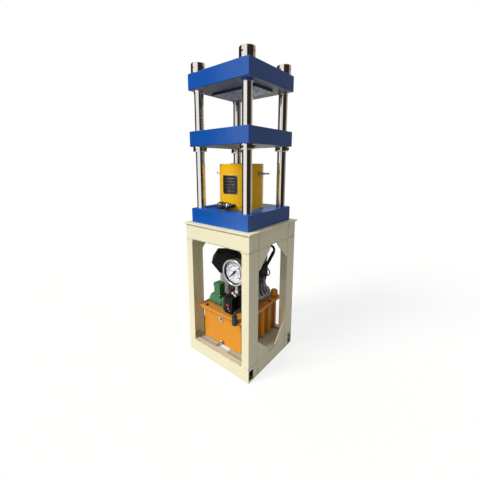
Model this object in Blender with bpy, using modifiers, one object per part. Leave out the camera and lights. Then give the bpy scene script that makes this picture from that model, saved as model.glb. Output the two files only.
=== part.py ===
"""Four-column hydraulic press with an electric pump unit, on a welded channel stand.

Metres, +Z up, origin at the middle of the footprint on the floor, front towards -Y.
"""

import math

import bmesh
import bpy
from mathutils import Matrix, Vector

# Clearances and cutting
GAP = 0.0003
OVERRUN = 0.010
WELD_DISTANCE = 0.00001
BEVEL_ANGLE = math.radians(40)
SMOOTH_ANGLE = math.radians(35)
PLATE_BEVEL = 0.002
FINE_BEVEL = 0.001

# Stand
STAND_WIDTH = 0.448
STAND_HEIGHT = 0.790
LOWER_CHANNEL_HEIGHT = 0.080
UPPER_CHANNEL_HEIGHT = 0.086
CHANNEL_FLANGE = 0.043
CHANNEL_WEB = 0.005
CHANNEL_ROOT_THICKNESS = 0.0095
CHANNEL_TOE_THICKNESS = 0.0065
CHANNEL_ROOT_RADIUS = 0.008
CHANNEL_TOE_RADIUS = 0.004
POST_HEIGHT_OF_SECTION = 0.080
POST_FLANGE = 0.045
GUSSET_LEG = 0.110
GUSSET_NOSE = 0.012
GUSSET_THICKNESS = 0.006
STAND_PLATE_OVERHANG = 0.010
STAND_PLATE_THICKNESS = 0.008
TRAY_THICKNESS = 0.005
TRAY_LIP_WIDTH = 0.018
TRAY_LIP_HEIGHT = 0.022
NOTCH_LEFT = -0.022
NOTCH_RIGHT = 0.046
NOTCH_DEPTH = 0.032

# Press plates
PLATE_WIDTH = 0.400
PLATE_THICKNESS = 0.080
PLATEN_OPENING = 0.3355
PLATEN_TRAVEL = 0.190
CROWN_OPENING = 0.622
BLOCK_LENGTH = 0.290
BLOCK_WIDTH = 0.156
BLOCK_THICKNESS = 0.015
BLOCK_SCREW_RADIUS = 0.0055
BLOCK_SCREW_DEPTH = 0.008
BLOCK_SCREW_INSET = 0.022

# Columns, nuts and collars
COLUMN_SPACING = 0.320
COLUMN_RADIUS = 0.025
COLUMN_RING_RADIUS = 0.0275
COLUMN_RING_HEIGHT = 0.014
COLUMN_THREAD_RADIUS = 0.019
COLUMN_END_CHAMFER = 0.002
COLUMN_END_DROP = 0.006
NUT_RADIUS = 0.0385
NUT_HEIGHT = 0.050
NUT_CHAMFER = 0.004
TOMMY_HOLE_RADIUS = 0.0045
TOMMY_HOLE_DEPTH = 0.010
TOMMY_HOLE_COUNT = 4
COLLAR_RADIUS = 0.038
COLLAR_HEIGHT = 0.026
COLLAR_CHAMFER = 0.0015
PLATEN_BORE_PLAY = 0.0006

# Jack
JACK_RADIUS = 0.122
JACK_HEIGHT = 0.244
JACK_CHAMFER = 0.004
JACK_FLOOR = 0.020
JACK_GROOVE_RISE = 0.014
JACK_GROOVE_WIDTH = 0.0025
JACK_GROOVE_DEPTH = 0.002
GLAND_RADIUS = 0.088
GLAND_GROOVE = 0.0018
GLAND_DROP = 0.001
RAM_RADIUS = 0.065
RAM_PROUD = 0.0026
RAM_CHAMFER = 0.003
RAM_GROOVE_RADIUS = 0.042
RAM_GROOVE = 0.002
RAM_TRAVEL = 0.088
EYE_HEIGHT = 0.192
EYE_REACH = 0.182
EYE_RING_RADIUS = 0.018
EYE_WIRE_RADIUS = 0.0055
EYE_COLLAR_RADIUS = 0.012
EYE_COLLAR_LENGTH = 0.006
EYE_SHANK_RADIUS = 0.006
EYE_SHANK_DEPTH = 0.018

# Hose coupler
COUPLER_BEARING = math.radians(-70)
COUPLER_RISE = 0.0262
COUPLER_STAND_OFF = 0.020
ELBOW_RADIUS = 0.007
ELBOW_BEND = 0.012
ELBOW_DEPTH = 0.014
COUPLER_NUT_RADIUS = 0.014
COUPLER_NUT_START = 0.016
COUPLER_SLEEVE_START = 0.024
COUPLER_SLEEVE_RADIUS = 0.0175
COUPLER_SLEEVE_END = 0.050
COUPLER_GROOVE = 0.0025
COUPLER_NOSE_RADIUS = 0.012
COUPLER_NOSE_END = 0.062
DUST_CAP_RADIUS = 0.0195
DUST_CAP_LENGTH = 0.036
DUST_CAP_WALL = 0.0035

# Tank
TANK_LEFT = -0.150
TANK_RIGHT = 0.130
TANK_FRONT = -0.167
TANK_BACK = 0.192
TANK_WALL = 0.003
TANK_RIB_COUNT = 5
TANK_RIB_DEPTH = 0.009
TANK_RIB_FACE_SHARE = 0.42
TANK_RIB_SLOPE_SHARE = 0.12
FOOT_WIDTH = 0.030
FOOT_HEIGHT = 0.010
FOOT_INSET = 0.010
TANK_HEIGHT = 0.194
LID_THICKNESS = 0.015
LID_OVERHANG_X = 0.022
LID_OVERHANG_Y = 0.023
FILLER_X = 0.118
FILLER_Y = 0.186
FILLER_NECK_RADIUS = 0.016
FILLER_NECK_WALL = 0.003
FILLER_NECK_HEIGHT = 0.022
FILLER_CAP_RADIUS = 0.022
FILLER_CAP_HEIGHT = 0.042
FILLER_CAP_WALL = 0.003
FILLER_CAP_ROUND = 0.012
SIGHT_X = -0.012
SIGHT_DROP = 0.050
SIGHT_RIM_RADIUS = 0.015
SIGHT_RIM_THICKNESS = 0.004
SIGHT_SHANK_RADIUS = 0.011
SIGHT_GLASS_RADIUS = 0.009
SIGHT_DISH = 0.0025
PLUG_X = 0.101
PLUG_DROP = 0.031
PLUG_RADIUS = 0.009
PLUG_HEIGHT = 0.006
DRAIN_X = -0.008
DRAIN_RISE = 0.021
DRAIN_BODY_RADIUS = 0.011
DRAIN_BODY_LENGTH = 0.017
DRAIN_SHANK_RADIUS = 0.007
DRAIN_SPOUT_RADIUS = 0.007
DRAIN_SPOUT_DROP = 0.018
DRAIN_STEM_RADIUS = 0.003
DRAIN_STEM_LENGTH = 0.004
LEVER_LENGTH = 0.034
LEVER_WIDTH = 0.008
LEVER_THICKNESS = 0.003
LEVER_HUB_RADIUS = 0.0065
LEVER_BEARING = math.radians(227)
LEVER_THROAT = math.radians(40)

# Pump and motor
MOTOR_X = -0.008
MOTOR_Y = 0.100
PUMP_RADIUS = 0.052
PUMP_HEIGHT = 0.130
PUMP_BORE_DEPTH = 0.020
PUMP_HEAD_RADIUS = 0.034
PUMP_HEAD_HEIGHT = 0.030
SHAFT_RADIUS = 0.012
LID_BORE_RADIUS = 0.030
BELL_HEIGHT = 0.106
BELL_RIM_RISE = 0.036
BELL_RIM_HEIGHT = 0.013
BELL_FOOT_HEIGHT = 0.006
BELL_FOOT_RADIUS = 0.118
BELL_RIM_RADIUS = 0.128
BELL_NECK_RADIUS = 0.0965
BELL_FIN_DEPTH = 0.006
BELL_FIN_THICKNESS = 0.004
BELL_FIN_COUNT = 24
BARREL_RADIUS = 0.098
BARREL_BORE = 0.070
BARREL_HEIGHT = 0.157
SHIELD_RADIUS = 0.1037
SHIELD_HEIGHT = 0.016
SHIELD_BORE = 0.020
ROTOR_RADIUS = 0.066
ROTOR_CLEARANCE = 0.010
COVER_HEIGHT = 0.078
COVER_WALL = 0.002
COVER_ROUND = 0.010
COVER_SLOT_WIDTH = 0.005
COVER_SLOT_START = 0.030
COVER_SLOT_END = 0.088
COVER_SLOT_COUNT = 12
FAN_RADIUS = 0.092
FAN_HUB_RADIUS = 0.026
FAN_BLADE_THICKNESS = 0.004
FAN_BLADE_HEIGHT = 0.040
FAN_BLADE_COUNT = 7

# Terminal box and capacitor housing, on the barrel
BOX_BEARING = math.radians(220.5)
BOX_HEIGHT = 0.122
BOX_TIP_RISE = 0.067
BOX_REACH = 0.240
BOX_TOP_REACH = 0.205
BOX_FOOT_REACH = 0.190
BOX_WIDTH = 0.112
BOX_ROUND = 0.006
BOX_LID_LINE = 0.0015
BOX_ROOT_ANGLE = math.radians(40)
CAPACITOR_CLEARANCE = 0.003
CAPACITOR_HEIGHT = 0.060
CAPACITOR_RADIUS = 0.048
CAPACITOR_REACH = 0.142
CAPACITOR_ROOT_ANGLE = math.radians(35)

# Carry handle and captive lead
HANDLE_CLEARANCE = 0.012
HANDLE_HALF_SPAN = 0.185
HANDLE_FOOT_SPAN = 0.112
HANDLE_FOOT_DROP = 0.032
HANDLE_BAR_RADIUS = 0.0075
HANDLE_BEND = 0.022
HANDLE_FOOT_LENGTH = 0.070
HANDLE_FOOT_WIDTH = 0.017
JUNCTION_WIDTH = 0.040
HANDLE_FOOT_THICKNESS = 0.026
LEAD_RADIUS = 0.0035
LEAD_BULGE = 0.034
LEAD_HALF_HEIGHT = 0.026
LEAD_SHIFT = -0.024

# Valve block, on the lid
VALVE_LEFT = -0.009
VALVE_RIGHT = 0.126
VALVE_FRONT = -0.112
VALVE_BACK = -0.050
VALVE_HEIGHT = 0.141
WING_RIGHT = 0.0087
WING_FRONT = -0.155
WING_HEIGHT = 0.076
FITTING_RADIUS = 0.008
FITTING_LENGTH = 0.034
FITTING_A_X = 0.051
FITTING_A_DROP = 0.023
FITTING_B_X = 0.068
FITTING_B_DROP = 0.031
OUTLET_X = 0.118
OUTLET_RISE = 0.053
OUTLET_REACH = 0.095
OUTLET_PIPE_RADIUS = 0.008
OUTLET_BEND = 0.014
OUTLET_DROP = 0.020
OUTLET_CAP_RADIUS = 0.015
OUTLET_CAP_HEIGHT = 0.046
OUTLET_CAP_GROOVE = 0.003
OUTLET_CAP_STEPS = 3
KNOB_X = 0.027
KNOB_DROP = 0.018
KNOB_RADIUS = 0.011
KNOB_LENGTH = 0.022
KNOB_STEM_RADIUS = 0.007
KNOB_STEM_LENGTH = 0.016
KNOB_ROUND = 0.002

# Solenoid valve
SOLENOID_Y = -0.130
SOLENOID_RISE = 0.039
SOLENOID_RADIUS = 0.030
SOLENOID_LEFT = -0.116
SOLENOID_FLANGE_LENGTH = 0.016
SOLENOID_FLANGE_WIDTH = 0.048
SOLENOID_FLANGE_HEIGHT = 0.062
SOLENOID_BELT_HEIGHT = 0.016
HEAD_X = -0.060
HEAD_BASE_WIDTH = 0.054
HEAD_BASE_RISE = 0.042
HEAD_WIDTH = 0.044
HEAD_RISE = 0.108
HEAD_LOBE_RADIUS = 0.013
HEAD_LOBE_DROP = 0.020
HEAD_LOBE_LENGTH = 0.016

# Starter box and its button
STARTER_LEFT = 0.009
STARTER_WIDTH = 0.055
STARTER_FRONT = -0.165
STARTER_HEIGHT = 0.095
BUTTON_X = 0.035
BUTTON_RISE = 0.051
BUTTON_RADIUS = 0.010
BUTTON_PROUD = 0.005
BUTTON_TRAVEL = 0.004
BUTTON_LENGTH = 0.013
BUTTON_COLLAR_RADIUS = 0.014
BUTTON_COLLAR_HEIGHT = 0.002

# Pressure gauge
GAUGE_X = 0.084
GAUGE_Y = -0.180
GAUGE_RISE = 0.117
GAUGE_RADIUS = 0.074
GAUGE_CASE_RADIUS = 0.070
GAUGE_OPENING_RADIUS = 0.063
GAUGE_BORE_RADIUS = 0.0665
GAUGE_BEZEL_DEPTH = 0.012
GAUGE_DEPTH = 0.046
GAUGE_WELL = 0.017
GAUGE_LIP = 0.003
GAUGE_ROUND = 0.003
LENS_THICKNESS = 0.002
DIAL_THICKNESS = 0.0015
NEEDLE_LENGTH = 0.054
NEEDLE_TAIL = 0.016
NEEDLE_WIDTH = 0.005
NEEDLE_TIP_WIDTH = 0.0016
NEEDLE_THICKNESS = 0.001
NEEDLE_HUB_RADIUS = 0.006
NEEDLE_HUB_HEIGHT = 0.005
NEEDLE_BEARING = math.radians(225)
STEM_RADIUS = 0.007
STEM_Y = -0.150
STEM_DROP = 0.012
STEM_BEND = 0.012

# Smoothness of round work, as counts of facets
COLUMN_SIDES = 20
JACK_SIDES = 40
MOTOR_SIDES = 36
GAUGE_SIDES = 32
SMALL_SIDES = 16
HOLE_SIDES = 10
HEXAGON_SIDES = 6
WIRE_SIDES = 6
ARC_STEPS = 3
BEND_STEPS = 3
DOME_STEPS = 6
LEVER_STEPS = 6
LEAD_STEPS = 12
CAPACITOR_STEPS = 9

# Heights and places worked out from the sizes above
BASE_UNDERSIDE = STAND_HEIGHT + STAND_PLATE_THICKNESS
BASE_TOP = BASE_UNDERSIDE + PLATE_THICKNESS
PLATEN_UNDERSIDE = BASE_TOP + PLATEN_OPENING
CROWN_UNDERSIDE = BASE_TOP + CROWN_OPENING
CROWN_TOP = CROWN_UNDERSIDE + PLATE_THICKNESS
JACK_TOP = BASE_TOP + JACK_HEIGHT
STAND_HALF = STAND_WIDTH / 2
STAND_PLATE_WIDTH = STAND_WIDTH + 2 * STAND_PLATE_OVERHANG
TANK_UNDERSIDE = LOWER_CHANNEL_HEIGHT + FOOT_HEIGHT
LID_TOP = TANK_UNDERSIDE + TANK_HEIGHT + LID_THICKNESS
SIGHT_Z = LID_TOP - SIGHT_DROP
PLUG_Z = LID_TOP - PLUG_DROP
DRAIN_Z = TANK_UNDERSIDE + DRAIN_RISE
BELL_TOP = LID_TOP + BELL_HEIGHT
BELL_RIM_TOP = LID_TOP + BELL_RIM_RISE
BARREL_TOP = BELL_TOP + BARREL_HEIGHT
COVER_TOP = BARREL_TOP + COVER_HEIGHT
CAPACITOR_UNDERSIDE = BELL_TOP + CAPACITOR_CLEARANCE
BOX_UNDERSIDE = CAPACITOR_UNDERSIDE + CAPACITOR_HEIGHT
BOX_TOP = BOX_UNDERSIDE + BOX_HEIGHT
BOX_TIP_HEIGHT = BOX_UNDERSIDE + BOX_TIP_RISE
HANDLE_HEIGHT = COVER_TOP + HANDLE_CLEARANCE
HANDLE_FOOT_TOP = BARREL_TOP - HANDLE_FOOT_DROP
VALVE_TOP = LID_TOP + VALVE_HEIGHT
WING_TOP = LID_TOP + WING_HEIGHT
FITTING_A_Z = VALVE_TOP - FITTING_A_DROP
FITTING_B_Z = VALVE_TOP - FITTING_B_DROP
OUTLET_Z = LID_TOP + OUTLET_RISE
KNOB_Z = VALVE_TOP - KNOB_DROP
SOLENOID_Z = LID_TOP + SOLENOID_RISE
HEAD_BASE_TOP = SOLENOID_Z + HEAD_BASE_RISE
HEAD_TOP = SOLENOID_Z + HEAD_RISE
STARTER_TOP = LID_TOP + STARTER_HEIGHT
BUTTON_Z = LID_TOP + BUTTON_RISE
GAUGE_Z = VALVE_TOP + GAUGE_RISE
STEM_Z = VALVE_TOP - STEM_DROP
COLUMN_PLACES = {
    "front_left": (-COLUMN_SPACING / 2, -COLUMN_SPACING / 2),
    "front_right": (COLUMN_SPACING / 2, -COLUMN_SPACING / 2),
    "rear_left": (-COLUMN_SPACING / 2, COLUMN_SPACING / 2),
    "rear_right": (COLUMN_SPACING / 2, COLUMN_SPACING / 2),
}
MOTOR_PLACE = Vector((MOTOR_X, MOTOR_Y, 0))

# Colour, roughness and metallic value of each finish
FINISHES = {
    "cream_paint": ((0.80, 0.75, 0.58), 0.45, 0.0),
    "blue_paint": ((0.012, 0.09, 0.40), 0.38, 0.0),
    "yellow_paint": ((0.86, 0.48, 0.01), 0.35, 0.0),
    "orange_paint": ((0.80, 0.32, 0.03), 0.40, 0.0),
    "green_paint": ((0.07, 0.20, 0.10), 0.50, 0.0),
    "bright_steel": ((0.72, 0.72, 0.70), 0.20, 1.0),
    "turned_steel": ((0.50, 0.49, 0.46), 0.32, 1.0),
    "machined_steel": ((0.36, 0.37, 0.38), 0.42, 1.0),
    "brass": ((0.74, 0.58, 0.28), 0.32, 1.0),
    "cast_aluminium": ((0.46, 0.48, 0.50), 0.45, 0.9),
    "black_plastic": ((0.015, 0.015, 0.017), 0.40, 0.0),
    "black_enamel": ((0.02, 0.02, 0.023), 0.35, 0.1),
    "red_plastic": ((0.70, 0.03, 0.04), 0.35, 0.0),
    "violet_anodised": ((0.36, 0.10, 0.26), 0.30, 0.9),
    "white_enamel": ((0.86, 0.87, 0.90), 0.40, 0.0),
    "glass": ((0.92, 0.95, 0.96), 0.05, 0.0),
    "grey_steel": ((0.30, 0.31, 0.32), 0.45, 0.8),
}


def clear_scene():
    for obj in list(bpy.data.objects):
        bpy.data.objects.remove(obj, do_unlink=True)


def new_collection(name):
    collection = bpy.data.collections.new(name)
    bpy.context.scene.collection.children.link(collection)
    return collection


# Outlines


def rounded(corners, steps=ARC_STEPS):
    """Points of a closed outline from (x, y, radius) corners, each corner with a radius made an arc."""
    points = []
    for index, (x, y, radius) in enumerate(corners):
        here = Vector((x, y))
        if not radius:
            points.append(here)
            continue
        before = (Vector(corners[index - 1][:2]) - here).normalized()
        after = (Vector(corners[(index + 1) % len(corners)][:2]) - here).normalized()
        half = before.angle(after) / 2
        centre = here + (before + after).normalized() * radius / math.sin(half)
        start = here + before * radius / math.tan(half) - centre
        turn = math.pi - 2 * half
        if before.x * after.y - before.y * after.x > 0:
            turn = -turn
        for step in range(steps + 1):
            points.append(centre + Matrix.Rotation(turn * step / steps, 2) @ start)
    return points


def arc(centre, radius, start, end, steps):
    """Points of an arc between two angles, both ends included."""
    points = []
    for step in range(steps + 1):
        angle = start + (end - start) * step / steps
        points.append((centre[0] + radius * math.cos(angle), centre[1] + radius * math.sin(angle)))
    return points


def signed_area(points):
    total = 0
    for index, (x, y) in enumerate(points):
        before_x, before_y = points[index - 1]
        total += before_x * y - x * before_y
    return total / 2


def along(x_axis, y_axis):
    """Rotation that lays an object's own X and Y along two world directions."""
    x_axis = Vector(x_axis)
    y_axis = Vector(y_axis)
    return Matrix((x_axis, y_axis, x_axis.cross(y_axis))).transposed().to_4x4()


# Direction of a turned piece's own axis, as a rotation
TO_FRONT = along((1, 0, 0), (0, 0, 1))
TO_RIGHT = along((0, 1, 0), (0, 0, 1))


# Shapes


def placed(name, data, place=(0, 0, 0), turn=None):
    obj = bpy.data.objects.new(name, data)
    obj.matrix_world = Matrix.Translation(place) @ (turn or Matrix())
    return obj


def box(name, low, high, turn=None, pivot=(0, 0, 0)):
    """A box between two corners, given in the frame that turn and pivot lay in the world."""
    size = [b - a for a, b in zip(low, high)]
    middle = Vector([(a + b) / 2 for a, b in zip(low, high)])
    mesh = bpy.data.meshes.new(name)
    work = bmesh.new()
    bmesh.ops.create_cube(work, size=1, matrix=Matrix.Diagonal((*size, 1)))
    work.to_mesh(mesh)
    work.free()
    turn = turn or Matrix()
    return placed(name, mesh, Vector(pivot) + turn @ middle, turn)


def cylinder(name, radius, start, end, sides=SMALL_SIDES, tip_radius=None):
    """A round bar between two points, straight or tapered."""
    start = Vector(start)
    end = Vector(end)
    mesh = bpy.data.meshes.new(name)
    work = bmesh.new()
    bmesh.ops.create_cone(
        work,
        cap_ends=True,
        segments=sides,
        radius1=radius,
        radius2=radius if tip_radius is None else tip_radius,
        depth=(end - start).length,
    )
    work.to_mesh(mesh)
    work.free()
    turn = (end - start).to_track_quat("Z", "Y").to_matrix().to_4x4()
    return placed(name, mesh, (start + end) / 2, turn)


def turned(name, profile, sides, place=(0, 0, 0), turn=None):
    """A turned shape from a closed profile of (radius, height) points round its own Z axis."""
    points = [tuple(point) for point in profile]
    if signed_area(points) > 0:
        points.reverse()
    on_axis = [index for index, point in enumerate(points) if not point[0]]
    if on_axis:
        # A profile that meets the axis in two neighbouring points is left open along it.
        while points[0][0] or points[-1][0]:
            points = points[1:] + points[:1]
    mesh = bpy.data.meshes.new(name)
    work = bmesh.new()
    verts = [work.verts.new((radius, 0, height)) for radius, height in points]
    for first, second in zip(verts, verts[1:]):
        work.edges.new((first, second))
    if not on_axis:
        work.edges.new((verts[-1], verts[0]))
    work.to_mesh(mesh)
    work.free()
    obj = placed(name, mesh, place, turn)
    screw = obj.modifiers.new("Turn", "SCREW")
    screw.axis = "Z"
    screw.angle = math.tau
    screw.steps = sides
    screw.render_steps = sides
    screw.use_merge_vertices = True
    screw.merge_threshold = WELD_DISTANCE
    screw.use_smooth_shade = True
    return obj


def as_mesh(obj):
    """A mesh object with the evaluated shape of a curve, its loose caps welded."""
    bpy.context.scene.collection.objects.link(obj)
    bpy.context.view_layer.update()
    graph = bpy.context.evaluated_depsgraph_get()
    mesh = bpy.data.meshes.new_from_object(obj.evaluated_get(graph))
    work = bmesh.new()
    work.from_mesh(mesh)
    bmesh.ops.remove_doubles(work, verts=work.verts, dist=WELD_DISTANCE)
    work.to_mesh(mesh)
    work.free()
    solid = bpy.data.objects.new(obj.name, mesh)
    solid.matrix_world = obj.matrix_world
    name = obj.name
    bpy.data.objects.remove(obj, do_unlink=True)
    solid.name = name
    mesh.name = name
    return solid


def extruded(name, outline, depth, place=(0, 0, 0), turn=None):
    """A flat outline given depth, half to each side of its own XY plane."""
    curve = bpy.data.curves.new(name, "CURVE")
    curve.dimensions = "2D"
    curve.fill_mode = "BOTH"
    curve.extrude = depth / 2
    spline = curve.splines.new("POLY")
    spline.points.add(len(outline[1:]))
    for point, (x, y) in zip(spline.points, outline):
        point.co = (x, y, 0, 1)
    spline.use_cyclic_u = True
    return as_mesh(placed(name, curve, place, turn))


def tube(name, path, radius, resolution=2, closed=False):
    """A round bar along a path of points."""
    curve = bpy.data.curves.new(name, "CURVE")
    curve.dimensions = "3D"
    curve.bevel_depth = radius
    curve.bevel_resolution = resolution
    curve.use_fill_caps = not closed
    spline = curve.splines.new("POLY")
    spline.points.add(len(path[1:]))
    for point, place in zip(spline.points, path):
        point.co = (*place, 1)
    spline.use_cyclic_u = closed
    return as_mesh(placed(name, curve))


def bent(corners, radius, steps=BEND_STEPS):
    """A path through corners, each inner corner made an arc."""
    corners = [Vector(corner) for corner in corners]
    path = [corners[0]]
    for before, here, after in zip(corners, corners[1:], corners[2:]):
        back = (before - here).normalized()
        ahead = (after - here).normalized()
        half = back.angle(ahead) / 2
        centre = here + (back + ahead).normalized() * radius / math.sin(half)
        start = here + back * radius / math.tan(half) - centre
        axis = ahead.cross(back)
        turn = math.pi - 2 * half
        for step in range(steps + 1):
            path.append(centre + Matrix.Rotation(turn * step / steps, 3, axis) @ start)
    path.append(corners[-1])
    return path


def merged(name, pieces):
    """One mesh object from several shapes that don't touch each other, for use as one cutter."""
    mesh = bpy.data.meshes.new(name)
    work = bmesh.new()
    for piece in pieces:
        start = len(work.verts)
        work.from_mesh(piece.data)
        work.verts.ensure_lookup_table()
        bmesh.ops.transform(work, matrix=piece.matrix_world, verts=work.verts[start:])
        bpy.data.objects.remove(piece, do_unlink=True)
    work.to_mesh(mesh)
    work.free()
    return placed(name, mesh)


def bevel(obj, width, segments=1):
    modifier = obj.modifiers.new("Edges", "BEVEL")
    modifier.width = width
    modifier.segments = segments
    modifier.limit_method = "ANGLE"
    modifier.angle_limit = BEVEL_ANGLE


def combine(obj, other, operation):
    """Cuts or joins with a second shape, which stays among the cutters."""
    other.hide_render = True
    other.display_type = "WIRE"
    CUTTERS.objects.link(other)
    modifier = obj.modifiers.new(operation.capitalize(), "BOOLEAN")
    modifier.operation = operation
    modifier.solver = "EXACT"
    modifier.object = other


def cut(obj, other):
    combine(obj, other, "DIFFERENCE")


def join(obj, other):
    combine(obj, other, "UNION")


def finish(obj, finish_name):
    """Gives a piece its own material and puts it among the parts."""
    colour, roughness, metallic = FINISHES[finish_name]
    material = bpy.data.materials.new(obj.name)
    material.use_nodes = True
    shader = material.node_tree.nodes["Principled BSDF"]
    shader.inputs["Base Color"].default_value = (*colour, 1)
    shader.inputs["Roughness"].default_value = roughness
    shader.inputs["Metallic"].default_value = metallic
    if finish_name == "glass":
        shader.inputs["Transmission Weight"].default_value = 1
    obj.data.materials.clear()
    obj.data.materials.append(material)
    if obj.data.polygons:
        obj.data.shade_smooth()
        obj.data.set_sharp_from_angle(angle=SMOOTH_ANGLE)
    PARTS.objects.link(obj)
    return obj


def pivot_at(obj, place):
    """An empty on a joint's axis that carries a moving piece."""
    empty = bpy.data.objects.new(obj.name + "_axis", None)
    empty.location = place
    empty.empty_display_size = JACK_RADIUS
    PARTS.objects.link(empty)
    bpy.context.view_layer.update()
    kept = obj.matrix_world.copy()
    obj.parent = empty
    obj.matrix_parent_inverse = Matrix.Translation(place).inverted()
    obj.matrix_world = kept


# Stand


def channel_outline(height, flange):
    """Section of a rolled channel: x runs inwards from the back of the web, y across it."""
    slope = (CHANNEL_ROOT_THICKNESS - CHANNEL_TOE_THICKNESS) / (flange - CHANNEL_WEB)
    root = CHANNEL_TOE_THICKNESS + slope * (flange - CHANNEL_WEB)
    return rounded(
        [
            (0, -height / 2, 0),
            (flange, -height / 2, 0),
            (flange, -height / 2 + CHANNEL_TOE_THICKNESS, CHANNEL_TOE_RADIUS),
            (CHANNEL_WEB, -height / 2 + root, CHANNEL_ROOT_RADIUS),
            (CHANNEL_WEB, height / 2 - root, CHANNEL_ROOT_RADIUS),
            (flange, height / 2 - CHANNEL_TOE_THICKNESS, CHANNEL_TOE_RADIUS),
            (flange, height / 2, 0),
            (0, height / 2, 0),
        ]
    )


def make_channels(prefix, underside, height):
    """A ring of four channels: front and rear run the full width, and the sides fit between their toes."""
    side_length = STAND_WIDTH - 2 * (CHANNEL_FLANGE + GAP)
    runs = {
        "front": ((0, 1, 0), STAND_WIDTH),
        "rear": ((0, -1, 0), STAND_WIDTH),
        "left": ((1, 0, 0), side_length),
        "right": ((-1, 0, 0), side_length),
    }
    outline = channel_outline(height, CHANNEL_FLANGE)
    for side, (inwards, length) in runs.items():
        place = Vector(inwards) * -STAND_HALF + Vector((0, 0, underside + height / 2))
        channel = extruded(f"{prefix}_{side}", outline, length, place, along(inwards, (0, 0, 1)))
        finish(channel, "cream_paint")


def gusset(name, x_sign, y_sign, z_sign, corner_z):
    """A corner plate, flush with the outside of the post's web, in the corner of a side window."""
    tuck = CHANNEL_TOE_THICKNESS
    near = STAND_HALF - POST_HEIGHT_OF_SECTION
    far = near - GUSSET_LEG
    outline = [
        (near + tuck, 0),
        (far, 0),
        (far, GUSSET_NOSE),
        (near - GUSSET_NOSE, GUSSET_LEG),
        (near + tuck, GUSSET_LEG),
    ]
    place = (x_sign * (STAND_HALF - GUSSET_THICKNESS / 2), 0, corner_z)
    turn = along((0, y_sign, 0), (0, 0, z_sign))
    return extruded(name, outline, GUSSET_THICKNESS, place, turn)


def make_posts():
    foot = LOWER_CHANNEL_HEIGHT + GAP
    head = STAND_HEIGHT - UPPER_CHANNEL_HEIGHT - GAP
    outline = channel_outline(POST_HEIGHT_OF_SECTION, POST_FLANGE)
    for name in COLUMN_PLACES:
        x_sign = 1 if name.endswith("right") else -1
        y_sign = 1 if name.startswith("rear") else -1
        place = (
            x_sign * STAND_HALF,
            y_sign * (STAND_HALF - POST_HEIGHT_OF_SECTION / 2),
            (foot + head) / 2,
        )
        turn = along((-x_sign, 0, 0), (0, -x_sign, 0))
        post = extruded(f"post_{name}", outline, head - foot, place, turn)
        join(post, gusset(f"gusset_foot_{name}", x_sign, y_sign, 1, foot))
        join(post, gusset(f"gusset_head_{name}", x_sign, y_sign, -1, head))
        finish(post, "cream_paint")


def make_stand_plate():
    half = STAND_PLATE_WIDTH / 2
    plate = box("stand_top_plate", (-half, -half, STAND_HEIGHT + GAP), (half, half, BASE_UNDERSIDE))
    bevel(plate, FINE_BEVEL)
    finish(plate, "cream_paint")


def make_tray():
    """Floor plate between the channel toes, with folded lips below and a notch under the drain."""
    half = STAND_HALF - CHANNEL_FLANGE - GAP
    top = LOWER_CHANNEL_HEIGHT
    underside = top - TRAY_THICKNESS
    notch_back = -half + NOTCH_DEPTH
    outline = [
        (-half, -half),
        (NOTCH_LEFT, -half),
        (NOTCH_LEFT, notch_back),
        (NOTCH_RIGHT, notch_back),
        (NOTCH_RIGHT, -half),
        (half, -half),
        (half, half),
        (-half, half),
    ]
    tray = extruded("floor_tray", outline, TRAY_THICKNESS, (0, 0, (top + underside) / 2))
    for sign in (-1, 1):
        outer = sign * half
        inner = sign * (half - TRAY_THICKNESS)
        lip = box(
            f"tray_lip_{'right' if sign > 0 else 'left'}",
            (min(outer, inner), -half + TRAY_LIP_WIDTH, underside - TRAY_LIP_HEIGHT),
            (max(outer, inner), half - TRAY_LIP_WIDTH, underside + TRAY_THICKNESS / 2),
        )
        join(tray, lip)
    finish(tray, "cream_paint")


# Press


def column_holes(name, radius, underside, top):
    holes = []
    for place, (x, y) in COLUMN_PLACES.items():
        start = (x, y, underside - OVERRUN)
        end = (x, y, top + OVERRUN)
        holes.append(cylinder(f"{name}_{place}", radius, start, end, COLUMN_SIDES))
    return merged(name, holes)


def make_plate(name, underside, top, bore):
    half = PLATE_WIDTH / 2
    plate = box(name, (-half, -half, underside), (half, half, top))
    bevel(plate, PLATE_BEVEL)
    cut(plate, column_holes(name + "_bores", bore, underside, top))
    return finish(plate, "blue_paint")


def make_columns():
    shoulder = CROWN_UNDERSIDE - GAP
    ring_foot = shoulder - COLUMN_RING_HEIGHT
    foot = BASE_UNDERSIDE + GAP
    end = CROWN_TOP + NUT_HEIGHT - COLUMN_END_DROP
    profile = [
        (0, end),
        (COLUMN_THREAD_RADIUS - COLUMN_END_CHAMFER, end),
        (COLUMN_THREAD_RADIUS, end - COLUMN_END_CHAMFER),
        (COLUMN_THREAD_RADIUS, shoulder),
        (COLUMN_RING_RADIUS, shoulder),
        (COLUMN_RING_RADIUS, ring_foot),
        (COLUMN_RADIUS, ring_foot),
        (COLUMN_RADIUS, foot),
        (0, foot),
    ]
    for name, (x, y) in COLUMN_PLACES.items():
        finish(turned(f"column_{name}", profile, COLUMN_SIDES, (x, y, 0)), "bright_steel")


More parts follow.
